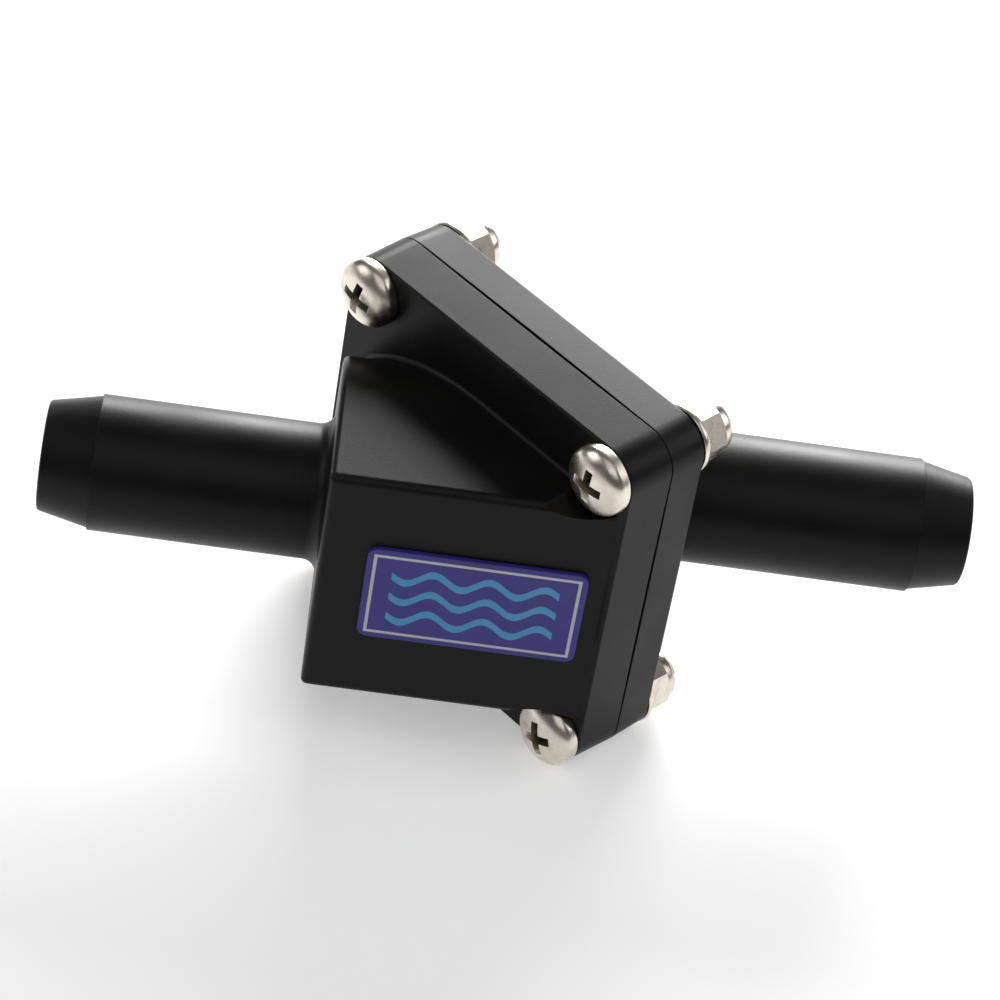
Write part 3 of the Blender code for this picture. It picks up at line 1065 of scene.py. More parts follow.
@dataclass(frozen=True)
class FlapChamber:
    """The chamber that the flap swings into: flat in front, round at the back about the outlet tail."""

    reach: float = 24.9 * MM
    front: float = 24.501 * MM
    axis: float = 5.5 * MM
    half_height: float = 19.3 * MM
    wall: float = 2.8 * MM
    edge: float = 1.2 * MM
    inner_edge: float = 0.4 * MM
    run_on: float = 34.0 * MM
    segments: int = 128

    def solid(self, name: str, frame: ValveFrame, inset: float = 0.0) -> Piece:
        """The chamber's block, or its hollow where a wall's thickness is given as the inset.

        Args:
            name: Name of the solid.
            frame: The valve's frame.
            inset: How far every face lies inside the chamber's own.

        Returns:
            The placed block, run on past the flange.
        """
        end, flat = inset - self.reach, inset - self.front
        edge = self.edge if inset == 0 else self.inner_edge
        clear_bench()
        bpy.ops.mesh.primitive_cylinder_add(
            vertices=self.segments,
            radius=self.half_height - inset,
            depth=self.run_on - end,
            location=((self.run_on + end) / 2, -self.axis, 0),
            rotation=(0, math.pi / 2, 0),
        )
        piece = newest(name)
        with shaping(piece):
            slice_across((0, -self.axis, 0), (0, -1, 0), clear=True)
            pick(piece, Element.FACE, lambda face: lies_at(face, -self.axis, Axis.Y))
            bpy.ops.mesh.extrude_region_move(TRANSFORM_OT_translate={"value": (0, flat + self.axis, 0)})
            pick(piece, Element.EDGE, lambda line: lies_at(line, flat, Axis.Y) and runs_along(line, Axis.X))
            ease(edge, 6)
            pick(piece, Element.EDGE, lambda line: lies_at(line, end, Axis.X))
            ease(edge, 6)
            face_outwards()
        return settle(piece, Matrix.Translation(frame.centre))


@dataclass(frozen=True)
class JunctionCove:
    """The small cove that fills the inner corner between the flap chamber and the flange.

    Attributes:
        flange: The flange that it lies on.
        chamber: The chamber that it runs round.
        radius: Its radius, less where the chamber's wall is short.
        least: The share of that radius below which it ends.
        wall_share: The share of a short wall that it may take up.
        root: How far it reaches into the chamber and the flange.
        bury: How far its edges are sunk in, so that they don't lie on the faces.
        back: Where it starts on the round back, in degrees above the middle.
        steps: How many faces it has across.
        line: How many stretches each straight of the chamber is divided into.
    """

    flange: FlangeHalf
    chamber: FlapChamber
    radius: float = 0.75 * MM
    least: float = 0.2
    wall_share: float = 0.5
    root: float = 0.9 * MM
    bury: float = 0.006 * MM
    back: float = 6.0
    steps: int = 7
    line: int = 12

    @staticmethod
    def _bend(centre: Vector, radius: float, start: float, end: float, steps: int) -> list[Place]:
        """Points of a round of the chamber's section between two angles, each with its outward normal."""
        normals = [Vector((0, *direction)) for direction in arc((0.0, 0.0), 1.0, start, end, steps)]
        return [(centre + normal * radius, normal) for normal in normals]

    def _outline(self) -> list[Place]:
        """The chamber's section from the back over the top to the front, and under it to the back again.

        Returns:
            Points of the section, each with its outward normal.
        """
        chamber = self.chamber
        height, front, round_ = chamber.half_height, -chamber.front, chamber.edge
        run, drop = chamber.front - chamber.axis - round_, height - round_
        up, forward, mirror = Vector((0, 0, 1)), Vector((0, -1, 0)), Vector((1, 1, -1))
        shares = [step / self.line for step in range(1, self.line)]
        upper = [
            *self._bend(Vector((0, -chamber.axis, 0)), height, self.back, 90, 28),
            *((Vector((0, -chamber.axis - run * share, height)), up) for share in shares),
            *self._bend(Vector((0, front + round_, drop)), round_, 90, 180, 6),
            *((Vector((0, front, drop * (1 - share))), forward) for share in shares),
        ]
        lower = [(point * mirror, normal * mirror) for point, normal in reversed(upper)]
        return [*upper, (Vector((0, front, 0)), forward), *lower]

    def _station(self, frame: ValveFrame, point: Vector, normal: Vector) -> list[Vector] | None:
        """The cove's section at one point of the chamber's outline.

        Args:
            frame: The valve's frame.
            point: A point of the outline, relative to the valve's centre.
            normal: The chamber wall's outward normal there.

        Returns:
            The section's corners, or None where the wall is too short for a cove.
        """
        face = frame.towards_outlet
        point = Vector(((self.flange.face - point.y * face.y) / face.x, point.y, point.z))
        room = point.x + self.chamber.reach - self.chamber.edge
        along = face.cross(normal).normalized()
        up_wall = along.cross(normal)
        up_wall *= 1 if up_wall.dot(face) > 0 else -1
        over_face = along.cross(face)
        over_face *= 1 if over_face.dot(normal) > 0 else -1
        half = up_wall.angle(over_face) / 2
        radius = min(self.radius, self.wall_share * room * math.tan(half))
        if radius < self.least * self.radius:
            return None
        centre = point + (up_wall + over_face).normalized() * radius / math.sin(half)
        start, end = (point + side * radius / math.tan(half) - centre for side in (up_wall, over_face))
        sweep = start.angle(end)
        cove = []
        for share in (step / self.steps for step in range(self.steps + 1)):
            spoke = (start * math.sin((1 - share) * sweep) + end * math.sin(share * sweep)) / math.sin(sweep)
            cove.append(centre + spoke)
        cove[0] -= normal * self.bury
        cove[-1] -= face * self.bury
        into_wall, into_face = normal * self.root, face * self.root
        inside = [cove[-1] - into_face, point - into_face - into_wall, cove[0] - into_wall]
        return [frame.centre + corner for corner in cove + inside]

    def solid(self, name: str, frame: ValveFrame) -> Piece:
        """Models the cove as a closed bead, its sections bridged one to the next.

        Args:
            name: Name of the solid.
            frame: The valve's frame.

        Returns:
            The placed bead.
        """
        sections = [self._station(frame, *place) for place in self._outline()]
        shape = bmesh.new()
        rings = [[shape.verts.new(corner) for corner in section] for section in sections if section]
        for ring, following in pairwise(rings):
            for index, corner in enumerate(ring):
                after = (index + 1) % len(ring)
                shape.faces.new((corner, ring[after], following[after], following[index]))
        shape.faces.new(rings[0][::-1])
        shape.faces.new(rings[-1])
        bmesh.ops.recalc_face_normals(shape, faces=shape.faces)
        mesh = bpy.data.meshes.new(name)
        shape.to_mesh(mesh)
        shape.free()
        return add_object(name, mesh)


@dataclass(frozen=True)
class OutletMoulding:
    """The outlet half: flange, flap chamber and hose tail in one moulding.

    Attributes:
        sink: How far the chamber and its cove reach into the flange.
        head_relief: Radius of the room for a screw's head.
        pocket_low: Lower back corner of the flap's pocket, across the flange and up.
        pocket_high: Its opposite corner.
        pocket_floor: How much of the flange is left under the pocket.
    """

    frame: ValveFrame
    flange: FlangeHalf
    chamber: FlapChamber
    tail: HoseTail
    cove: JunctionCove
    sink: float = 0.7 * MM
    head_relief: float = 5.6 * MM
    pocket_low: tuple[float, float] = (-18.5 * MM, -13.5 * MM)
    pocket_high: tuple[float, float] = (15.4 * MM, 13.5 * MM)
    pocket_floor: float = 1.0 * MM

    def build(self) -> Piece:
        """Models the whole half.

        Returns:
            The finished piece.
        """
        body = self.chamber.solid("outlet_moulding", self.frame)
        start = self.chamber.reach - self.chamber.wall / 2
        combine(body, self.tail.solid("outlet_tail", self.frame, start, self.chamber.reach), Join.ADD)
        self.frame.trim(body, self.flange.face - self.sink, Side.OUTLET)
        combine(body, self.cove.solid("junction_cove", self.frame), Join.ADD)
        self._relieve_heads(body)
        combine(body, self.flange.solid("outlet_plate", self.frame, Side.OUTLET), Join.ADD)
        self._hollow(body)
        self.flange.cut_bed(body, self.frame)
        return even_out(body)

    def _relieve_heads(self, body: Piece) -> None:
        """Cuts room for the screw heads into the chamber's wall."""
        low = self.flange.face - 2 * PAST
        self.flange.drill(body, self.frame, "relief", self.head_relief, low, low + self.flange.half, 64)

    def _hollow(self, body: Piece) -> None:
        """Cuts the chamber, the flap's pocket and the bore.

        Args:
            body: The moulding.
        """
        top = self.flange.face - self.pocket_floor
        hollow = self.chamber.solid("chamber_hollow", self.frame, self.chamber.wall)
        self.frame.trim(hollow, top - PAST / 2, Side.OUTLET)
        combine(body, hollow, Join.REMOVE)
        pocket = rounded_block("flap_pocket", (*self.pocket_low, 0), (*self.pocket_high, top), self.flange.bed_corner)
        combine(body, settle(pocket, self.frame.flange()), Join.REMOVE)
        inside = self.chamber.reach - self.chamber.wall - PAST
        combine(body, self.tail.passage("outlet_passage", self.frame, inside), Join.REMOVE)


@dataclass(frozen=True)
class InletMoulding:
    """The inlet half: flange, valve seat and hose tail in one moulding.

    Attributes:
        root_fillet: Radius of the round at the tail's root.
        seat_back: How far behind the flange's middle the seat's centre lies.
        straight: How much of a line's direction is along X if it runs along the tail.
    """

    frame: ValveFrame
    flange: FlangeHalf
    tail: HoseTail
    root_fillet: float = 0.8 * MM
    seat_radius: float = 9.0 * MM
    seat_depth: float = 5.0 * MM
    seat_back: float = 5.0 * MM
    straight: float = 0.999

    def build(self) -> Piece:
        """Models the whole half.

        Returns:
            The finished piece.
        """
        body = self.tail.solid("inlet_moulding", self.frame, -self.tail.reach)
        self.frame.trim(body, PAST - self.flange.face, Side.INLET)
        combine(body, self.flange.solid("inlet_plate", self.frame, Side.INLET), Join.ADD)
        self._fill_root(body)
        self.flange.cut_bed(body, self.frame)
        seat = rod("seat", self.seat_radius, -self.seat_depth, 0.0, 96)
        combine(body, settle(seat, self.frame.flange(-self.seat_back)), Join.REMOVE)
        passage = self.tail.passage("inlet_passage", self.frame, -self.tail.reach)
        self.frame.trim(passage, PAST / 2 - self.seat_depth, Side.INLET)
        combine(body, passage, Join.REMOVE)
        return even_out(body)

    def _at_root(self, edge: Edge) -> bool:
        """Whether an edge is part of the inner corner where the tail grows out of the flange."""
        on_face = all(abs(self.frame.depth(vert.co) + self.flange.face) < SAME_PLACE for vert in edge.verts)
        return on_face and len(edge.link_faces) == 2 and not edge.is_convex

    def _on_line(self, vert: bmesh.types.BMVert) -> bool:
        """Whether one of the lines along the tail ends at a point."""
        lines = [(edge.other_vert(vert).co - vert.co).normalized() for edge in vert.link_edges]
        return any(abs(line.x) > self.straight for line in lines)

    def _fill_root(self, body: Piece) -> None:
        """Merges stray points of that corner into the ends of the tail's own lines, and rounds it.

        Args:
            body: The tail and its flange.
        """
        with shaping(body):
            shape = bmesh.from_edit_mesh(body.data)
            ends = [pair for edge in shape.edges if self._at_root(edge) for pair in permutations(edge.verts)]
            strays = {stray: kept for stray, kept in ends if self._on_line(kept) and not self._on_line(stray)}
            bmesh.ops.weld_verts(shape, targetmap=strays)
            bmesh.update_edit_mesh(body.data)
            count = pick(body, Element.EDGE, self._at_root)
            log.info("tail root: %d edges, %d stray points merged", count, len(strays))
            ease(self.root_fillet, 5, clamp=False)


# Fasteners


@dataclass(frozen=True)
class PanScrew:
    """A pan-head machine screw with a cross recess, drawn with its head standing on the XY plane.

    Attributes:
        grip: How thick the flange is that it holds.
        rim: Height where the head's crown begins.
        core: Radius of the thread's core.
        past_grip: How far it reaches past the flange.
        recess_span: Length of the recess's arms at the crown, from end to end.
        recess_arm: Width of an arm at the crown.
        recess_foot: How much of an arm's length and width is left at its foot.
        recess_round: How far the rim of the recess is eased.
        dirt_and_shade_depth: How deep under the crown the dirt is thickest.
        chamfer: Width of the chamfer at the tip.
        thread_turns: How many turns of thread stand out of the nut.
        thread_ridge: Size of the thread's ridge.
    """

    grip: float
    head_radius: float = 5.0 * MM
    head_top: float = 3.7 * MM
    rim: float = 1.2 * MM
    shank: float = 2.5 * MM
    core: float = 2.1 * MM
    past_grip: float = 8.0 * MM
    recess_span: float = 5.5 * MM
    recess_arm: float = 1.35 * MM
    recess_depth: float = 2.3 * MM
    recess_foot: tuple[float, float] = (0.42, 0.7)
    recess_round: float = 0.09 * MM
    dirt_and_shade_depth: float = 0.5 * MM
    chamfer: float = 0.35 * MM
    thread_pitch: float = 0.8 * MM
    thread_turns: int = 3
    thread_ridge: float = 0.42 * MM

    @property
    def tip(self) -> float:
        """Height of the screw's far end."""
        return -self.grip - self.past_grip

    def build(self, name: str) -> Piece:
        """Models one screw about the Z axis.

        Args:
            name: The screw's name.

        Returns:
            The finished screw.
        """
        rise = self.head_top - self.rim
        crown = [(self.head_radius * out, self.rim + rise * up) for out, up in arc((0.0, 0.0), 1.0, 0, 84, 14)]
        screw = turn_up(name, [
            (self.core - self.chamfer, self.tip),
            (self.core, self.tip + self.chamfer),
            (self.core, -self.grip - 0.4 * MM),
            (self.shank, -self.grip - 0.2 * MM),
            (self.shank, 0.0),
            (self.head_radius - 0.25 * MM, 0.0),
            (self.head_radius - 0.06 * MM, 0.1 * MM),
            (self.head_radius, 0.3 * MM),
            *crown,
        ], 64)
        for turn in (0.0, math.pi / 2):
            combine(screw, self._recess_wing(turn), Join.REMOVE)
        self._round_recess(screw)
        combine(screw, self._thread(), Join.ADD)
        even_out(screw, 40.0)
        self._mark_recess_dirt_and_shade(screw)
        return screw

    def _recess_wing(self, turn: float) -> Piece:
        """One of the two crossing slots, narrower at its foot.

        Args:
            turn: How far it is turned about Z.

        Returns:
            The tool that cuts it.
        """
        half, arm = self.recess_span / 2, self.recess_arm / 2
        low, high = self.head_top - self.recess_depth, self.head_top + 0.05 * MM
        wing = block("recess_wing", (-half, -arm, low), (half, arm, high))
        with shaping(wing):
            pick(wing, Element.FACE, lambda face: face.normal.z < -0.5)
            bpy.ops.transform.resize(value=(*self.recess_foot, 1), center_override=(0, 0, low))
        return settle(wing, Matrix.Rotation(turn, 4, "Z"))

    def _round_recess(self, screw: Piece) -> None:
        """Eases the rim of the recess, as a punched one is.

        Args:
            screw: The screw with its recess.
        """
        reach = 0.62 * self.recess_span
        floor = self.head_top - self.recess_depth + 0.3 * MM

        def on_rim(edge: Edge) -> bool:
            """Whether an edge runs round the recess on the crown."""
            near = all(vert.co.z > floor and vert.co.xy.length < reach for vert in edge.verts)
            return near and len(edge.link_faces) == 2 and edge.is_convex and edge.calc_face_angle() >= 0.5

        with shaping(screw):
            pick(screw, Element.EDGE, on_rim)
            ease(self.recess_round, 2)

    def _mark_recess_dirt_and_shade(self, screw: Piece) -> None:
        """Marks how deep each point of the recess lies under the crown, for the dirt and the painted shade that darken
        it.

        Args:
            screw: The finished screw.
        """
        # Painted shade and dirt, darkest deep in the recess under the crown.
        recess_dirt_and_shade = screw.data.attributes.new(DIRT_AND_SHADE, "FLOAT", "POINT")
        for vert, entry in zip(screw.data.vertices, recess_dirt_and_shade.data):
            away = min(1.0, vert.co.xy.length / self.head_radius)
            below = self.rim + (self.head_top - self.rim) * math.sqrt(1 - away**2) - vert.co.z
            in_recess = away < 0.6 and vert.co.z > self.rim - self.recess_depth / 4
            entry.value = min(1.0, max(0.0, below / self.dirt_and_shade_depth)) if in_recess else 0.0

    def _thread(self) -> Piece:
        """The turns of thread that stand out of the nut, swept from a three-cornered ridge.

        Returns:
            The thread, in its place on the screw.
        """
        clear_bench()
        bpy.ops.mesh.primitive_circle_add(vertices=3, radius=self.thread_ridge, rotation=(math.pi / 2, math.pi / 2, 0))
        ridge = settle(newest("thread"), Matrix.Translation((self.core + 0.1 * MM, 0, self.tip + 0.55 * MM)))
        finish_with(ridge, "SCREW", angle=math.tau, screw_offset=self.thread_pitch, iterations=self.thread_turns,
                    steps=40, render_steps=40, use_merge_vertices=False)
        with shaping(ridge):
            bpy.ops.mesh.select_all(action="SELECT")
            bpy.ops.mesh.fill_holes(sides=3)
            face_outwards()
        return ridge


@dataclass(frozen=True)
class FlatWasher:
    """A stamped flat washer, drawn about the Z axis under the XY plane."""

    radius: float = 5.0 * MM
    hole: float = 2.65 * MM
    thickness: float = 1.1 * MM
    edge: float = 0.16 * MM
    burr: float = 0.05 * MM

    def build(self, name: str) -> Piece:
        """Models one washer, its outer edge rolled over on one side by the stamping.

        Args:
            name: The washer's name.

        Returns:
            The finished washer.
        """
        low = -self.thickness
        roll = 2 * self.edge
        return even_out(turn_up(name, [
            (self.hole, low + self.edge),
            (self.hole + self.edge, low),
            (self.radius - roll, low),
            (self.radius - MID_ROUND * roll, low + MID_ROUND * roll),
            (self.radius, low + roll),
            (self.radius, -self.burr),
            (self.radius - self.burr, 0.0),
            (self.hole, 0.0),
            (self.hole, low + self.edge),
        ], 64, hollow=True), 50.0)


@dataclass(frozen=True)
class LockNut:
    """A lock nut: a hexagon with chamfered corners, a round collar and a ring of nylon in it.

    Attributes:
        foot: Height of the face on the washer, which lies under the XY plane.
        hex_top: Height where the hexagon ends.
        top: Height where the collar ends.
        lip: Radius of the opening that the collar is rolled in to.
        insert_depth: How deep the nylon's seat reaches under the collar's end.
        clear: How far the tool for the corners stands off the hexagon's ends.
    """

    across_flats: float = 8.0 * MM
    foot: float = -1.1 * MM
    hex_top: float = -5.0 * MM
    top: float = -6.6 * MM
    collar: float = 3.9 * MM
    lip: float = 3.35 * MM
    hole: float = 2.4 * MM
    insert_depth: float = 1.1 * MM
    clear: float = 0.001 * MM

    def build(self, name: str) -> Piece:
        """Models the steel nut about the Z axis.

        Args:
            name: The nut's name.

        Returns:
            The finished nut.
        """
        corner = self.across_flats / math.sqrt(3)
        hexagon = rod(name, corner, self.hex_top, self.foot, 6)
        chamfer = corner - self.across_flats / 2 + 0.02 * MM
        cone = turn_up("corner_chamfer", [
            (corner - 0.55 * chamfer, self.foot + self.clear),
            (corner + PAST, self.foot - 0.9 * (PAST + 0.55 * chamfer)),
            (corner + PAST, self.hex_top + 0.7 * (PAST + chamfer)),
            (corner - chamfer, self.hex_top - self.clear),
        ], 96)
        combine(hexagon, cone, Join.KEEP_COMMON)
        combine(hexagon, self._collar(), Join.ADD)
        combine(hexagon, rod("nut_hole", self.hole, self.top - PAST, self.foot + PAST, 48), Join.REMOVE)
        seat = turn_up("insert_seat", [
            (self.lip, self.top - PAST),
            (self.lip, self.top + 0.25 * MM),
            (self.collar - 0.35 * MM, self.top + 0.3 * MM),
            (self.collar - 0.35 * MM, self.top + self.insert_depth),
        ], 64)
        combine(hexagon, seat, Join.REMOVE)
        return even_out(hexagon, 30.0)

    def _collar(self) -> Piece:
        """The collar, rolled in over the nylon at its end.

        Returns:
            The collar, without its hole.
        """
        return turn_up("collar", [
            (self.collar, self.hex_top + 1.0 * MM),
            (self.collar, self.top + 0.75 * MM),
            (self.collar - 0.08 * MM, self.top + 0.42 * MM),
            (self.collar - 0.26 * MM, self.top + 0.14 * MM),
            (self.collar - 0.5 * MM, self.top),
        ], 64)

    def insert(self, name: str) -> Piece:
        """Models the ring of nylon, with a rounded inner edge.

        Args:
            name: The ring's name.

        Returns:
            The finished ring.
        """
        low, high = self.top + 0.12 * MM, self.top + self.insert_depth
        outer, lip = self.collar - 0.36 * MM, self.lip - 0.02 * MM
        inner = self.hole - 0.2 * MM
        return even_out(turn_up(name, [
            (inner, high),
            (inner, low + 0.3 * MM),
            (inner + 0.1 * MM, low + 0.09 * MM),
            (inner + 0.3 * MM, low),
            (lip, low),
            (lip, low + 0.22 * MM),
            (outer, low + 0.26 * MM),
            (outer, high),
            (inner, high),
        ], 64, hollow=True), 45.0)


@dataclass(frozen=True)
class Fasteners:
    """The four screws with their washers and lock nuts, each modelled once and copied.

    Attributes:
        turns: How far each screw and nut is turned about its axis, in degrees.
    """

    frame: ValveFrame
    outlet: FlangeHalf
    inlet: FlangeHalf
    washer: FlatWasher = FlatWasher()
    nut: LockNut = LockNut()
    turns: tuple[tuple[float, float], ...] = ((-8.0, 28.0), (2.0, 34.0), (20.0, 15.0), (65.0, 38.0))

    def build(self, steel: Material, nylon: Material) -> None:
        """Models the set and places a copy at every corner of the flange.

        Args:
            steel: Finish of the screws, washers and nuts.
            nylon: Finish of the rings in the nuts.
        """
        screw = PanScrew(self.outlet.face + self.inlet.face)
        patterns = {
            "flange_screw": (screw.build("pattern_screw"), Slot.STEEL, steel),
            "flange_washer": (self.washer.build("pattern_washer"), Slot.STEEL, steel),
            "lock_nut": (self.nut.build("pattern_nut"), Slot.STEEL, steel),
            "nut_insert": (self.nut.insert("pattern_insert"), Slot.NYLON, nylon),
        }
        for (place, (across, up)), (screw_turn, nut_turn) in zip(self.outlet.screws.items(), self.turns):
            for kind, (pattern, slot, finish) in patterns.items():
                on_outlet = kind == "flange_screw"
                seat = Matrix.Translation((0, 0, self.outlet.face if on_outlet else -self.inlet.face))
                turn = Matrix.Rotation(math.radians(screw_turn if on_outlet else nut_turn), 4, "Z")
                placing = self.frame.flange(across, up) @ seat @ turn
                piece = copy_of(pattern, f"{kind}_{place}_fitted", placing)
                hand_over(piece, Body.HOUSING, finish, f"{kind}_{place}")
        for pattern, _, _ in patterns.values():
            bpy.data.meshes.remove(pattern.data)


# Label and inner parts


@dataclass(frozen=True)
class LabelPlate:
    """The thin label on the chamber's flat, pressed on to it."""

    corner: float = 1.5 * MM
    edge: float = 0.14 * MM
    press: float = 0.3 * MM

    def build(self) -> tuple[Piece, tuple[float, float], tuple[float, float]]:
        """Models the label where its CAD node is.

        Returns:
            The label, its middle along X and Z, and half its length and height.
        """
        low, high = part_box("label_plate")
        high.y += self.press
        label = rounded_block("label_film", low, high, self.corner, Axis.Y)
        with shaping(label):
            pick(label, Element.EDGE, lambda edge: lies_at(edge, low.y, Axis.Y))
            ease(self.edge, 3)
        middle, half = (low + high) / 2, (high - low) / 2
        return even_out(label, 50.0), (middle.x, middle.z), (half.x, half.z)


@dataclass(frozen=True)
class RubberGasket:
    """The rubber sheet clamped between the halves, with a window for the flap and a sealing rib round it.

    Attributes:
        half: Half its length and height.
        depth: Half its thickness.
        rib: How far the rib's two sides lie outside the window.
        rib_depth: Half the thickness at the rib, which touches both beds.
    """

    half: tuple[float, float] = (24.95 * MM, 19.05 * MM)
    depth: float = 1.1 * MM
    corner: float = 4.0 * MM
    edge: float = 0.3 * MM
    window_low: tuple[float, float] = (-17.5 * MM, -12.5 * MM)
    window_high: tuple[float, float] = (14.4 * MM, 12.5 * MM)
    rib: tuple[float, float] = (1.4 * MM, 2.8 * MM)
    rib_depth: float = 1.28 * MM

    def _slab(self, name: str, low: Sequence[float], high: Sequence[float], depth: float) -> Piece:
        """A sheet with round corners and eased edges.

        Args:
            name: The sheet's name.
            low: Its lowest corner, across the flange and up.
            high: Its highest corner.
            depth: Half its thickness.

        Returns:
            The sheet.
        """
        slab = rounded_block(name, (*low, -depth), (*high, depth), self.corner)
        with shaping(slab):
            pick(slab, Element.EDGE, lambda edge: is_corner(edge) and not runs_along(edge))
            ease(self.edge, 3)
        return slab

    def _window(self, name: str, margin: float, depth: float) -> Piece:
        """A sheet as large as the window and a margin round it, half as thick as the depth to each side."""
        low, high = [place - margin for place in self.window_low], [place + margin for place in self.window_high]
        return self._slab(name, low, high, depth)

    def build(self, frame: ValveFrame) -> Piece:
        """Models the gasket in the parting plane.

        Args:
            frame: The valve's frame.

        Returns:
            The finished gasket.
        """
        gasket = self._slab("rubber_gasket", [-place for place in self.half], self.half, self.depth)
        inner, outer = self.rib
        ribs = self._window("sealing_rib", outer, self.rib_depth)
        combine(ribs, self._window("rib_inside", inner, PAST), Join.REMOVE)
        combine(gasket, ribs, Join.ADD)
        combine(gasket, self._window("flap_window", 0.0, PAST), Join.REMOVE)
        return settle(even_out(gasket, 40.0), frame.flange())


@dataclass(frozen=True)
class FlapStack:
    """The rubber flap on its web, with the weight and the backing washer that a rivet holds on it.

    Attributes:
        frame: The valve's frame.
        back: How far behind the flange's middle the flap's centre lies.
        hinge: How far in front of it the web bends.
        bend: Half the length of web that takes the bend.
        bead: Radius of the ring that seals on the seat.
        web_half: Half the web's width and thickness.
        web_round: How far the web's edges are rounded, as a share of that half thickness.
        web_end: Where the web ends, inside the gasket.
        fit: How far the weight and the backing washer stand off the rivet.
    """

    frame: ValveFrame
    back: float = 5.0 * MM
    hinge: float = 13.5 * MM
    bend: float = 1.1 * MM
    radius: float = 11.0 * MM
    depth: float = 1.0 * MM
    bead: float = 10.0 * MM
    bead_depth: float = 1.27 * MM
    edge: float = 0.4 * MM
    web_half: tuple[float, float] = (9.0 * MM, 0.6 * MM)
    web_round: float = 0.6
    web_end: float = 16.6 * MM
    shank: float = 1.5 * MM
    fit: float = 0.03 * MM
    weight_radius: float = 7.0 * MM
    weight_top: float = 6.3 * MM
    backing_radius: float = 6.5 * MM
    backing_foot: float = -2.5 * MM
    head_radius: float = 2.7 * MM
    head_height: float = 1.0 * MM

    def build(self, finishes: dict[Slot, Material]) -> None:
        """Models the flap and what it carries, and ties them to the frame.

        Args:
            finishes: The finishes by slot.
        """
        flap = self._flap()
        start, end = (self.frame.flange(self.hinge + side * self.bend).translation for side in (1, -1))
        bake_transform(flap)
        hand_over(flap, None, finishes[Slot.RUBBER], "flap")
        for piece, slot, node in (
            (self._weight(), Slot.BRASS, "flap_weight"),
            (self._backing(), Slot.STEEL, "flap_backing"),
            (self._rivet(), Slot.STEEL, "flap_rivet"),
        ):
            settle(even_out(piece, 40.0), self.frame.flange(-self.back))
            hand_over(piece, Body.FLAP, finishes[slot], node)

    def _flap(self) -> Piece:
        """The disc with its sealing bead, fused to the web that it hangs on.

        Returns:
            The placed flap.
        """
        rim, face = self.radius - self.edge, self.depth - self.edge
        inner = self.shank + 0.02 * MM
        slope = -self.depth - 0.7 * (self.bead_depth - self.depth)
        disc = turn_up("rubber_flap", [
            (inner, -self.depth),
            (self.bead - 0.5 * MM, -self.depth),
            (self.bead - 0.3 * MM, slope),
            (self.bead, -self.bead_depth),
            (self.bead + 0.3 * MM, slope),
            (self.bead + 0.5 * MM, -self.depth),
            *arc((rim, -face), self.edge, -90, 0, 4),
            *arc((rim, face), self.edge, 0, 90, 4),
            (inner, self.depth),
            (inner, -self.depth),
        ], 96, hollow=True)
        settle(disc, Matrix.Translation((-self.back, 0, 0)))
        width, thickness = self.web_half
        low, high = (0, -width, -thickness), (self.web_end, width, thickness)
        combine(disc, rounded_block("flap_web", low, high, self.web_round * thickness, Axis.X, 4), Join.ADD)
        with shaping(disc):
            for step in range(-6, 7):
                slice_across((self.hinge + step * self.bend / 5, 0, 0), (1, 0, 0))
        return settle(even_out(disc, 40.0), self.frame.flange())

    def _weight(self) -> Piece:
        """The turned weight, with a rounded upper edge.

        Returns:
            The weight, about the Z axis.
        """
        bore, radius, round_ = self.shank + self.fit, self.weight_radius, 2 * self.edge
        return turn_up("turned_weight", [
            (bore, self.depth),
            (radius - 0.2 * MM, self.depth),
            (radius, self.depth + 0.2 * MM),
            *arc((radius - round_, self.weight_top - round_), round_, 0, 90, 6),
            (bore + 0.3 * MM, self.weight_top),
            (bore, self.weight_top - 0.3 * MM),
            (bore, self.depth),
        ], 96, hollow=True)

    def _backing(self) -> Piece:
        """The stamped washer behind the flap, rolled over at its rim.

        Returns:
            The washer, about the Z axis.
        """
        bore, rim = self.shank + self.fit, self.backing_radius - self.edge
        return turn_up("backing_washer", [
            (bore, -self.depth),
            (bore, self.backing_foot),
            *arc((rim, self.backing_foot + self.edge), self.edge, -90, 0, 4),
            (self.backing_radius, -self.depth - 0.1 * MM),
            (self.backing_radius - 0.1 * MM, -self.depth),
            (bore, -self.depth),
        ], 96, hollow=True)

    def _rivet(self) -> Piece:
        """The rivet, a low dome at each end.

        Returns:
            The rivet, about the Z axis.
        """
        dome = [(self.head_radius * out, self.head_height * up) for up, out in arc((0.0, 0.0), 1.0, 5, 90, 5)]
        return turn_up("domed_rivet", [
            *((radius, self.backing_foot - height) for radius, height in dome),
            (self.shank, self.backing_foot),
            (self.shank, self.weight_top),
            *((radius, self.weight_top + height) for radius, height in reversed(dome)),
        ], 64)


# Studio


@dataclass(frozen=True)
class Lamp:
    """A soft lamp that faces the valve.

    Attributes:
        name: The lamp's name.
        azimuth: Where it stands, in degrees about Z from the front.
        elevation: How high it stands, in degrees.
        distance: How far it is from the valve.
        size: Its width and height.
        radiance: How bright its face is, where white paper in plain light is 1.
    """

    name: str
    azimuth: float
    elevation: float
    distance: float
    size: tuple[float, float]
    radiance: float

    def light(self, target: Vector) -> None:
        """Hangs the lamp and points it at a target.

        Args:
            target: The point that it faces.
        """
        data = bpy.data.lights.new(self.name, "AREA")
        data.shape = "RECTANGLE"
        data.size, data.size_y = self.size
        data.energy = self.radiance * math.pi * self.size[0] * self.size[1]
        lamp = add_object(self.name, data)
        turn, rise = math.radians(self.azimuth), math.radians(self.elevation)
        outwards = Vector((math.sin(turn) * math.cos(rise), -math.cos(turn) * math.cos(rise), math.sin(rise)))
        lamp.location = target + outwards * self.distance
        lamp.rotation_euler = outwards.to_track_quat("Z", "Y").to_euler()


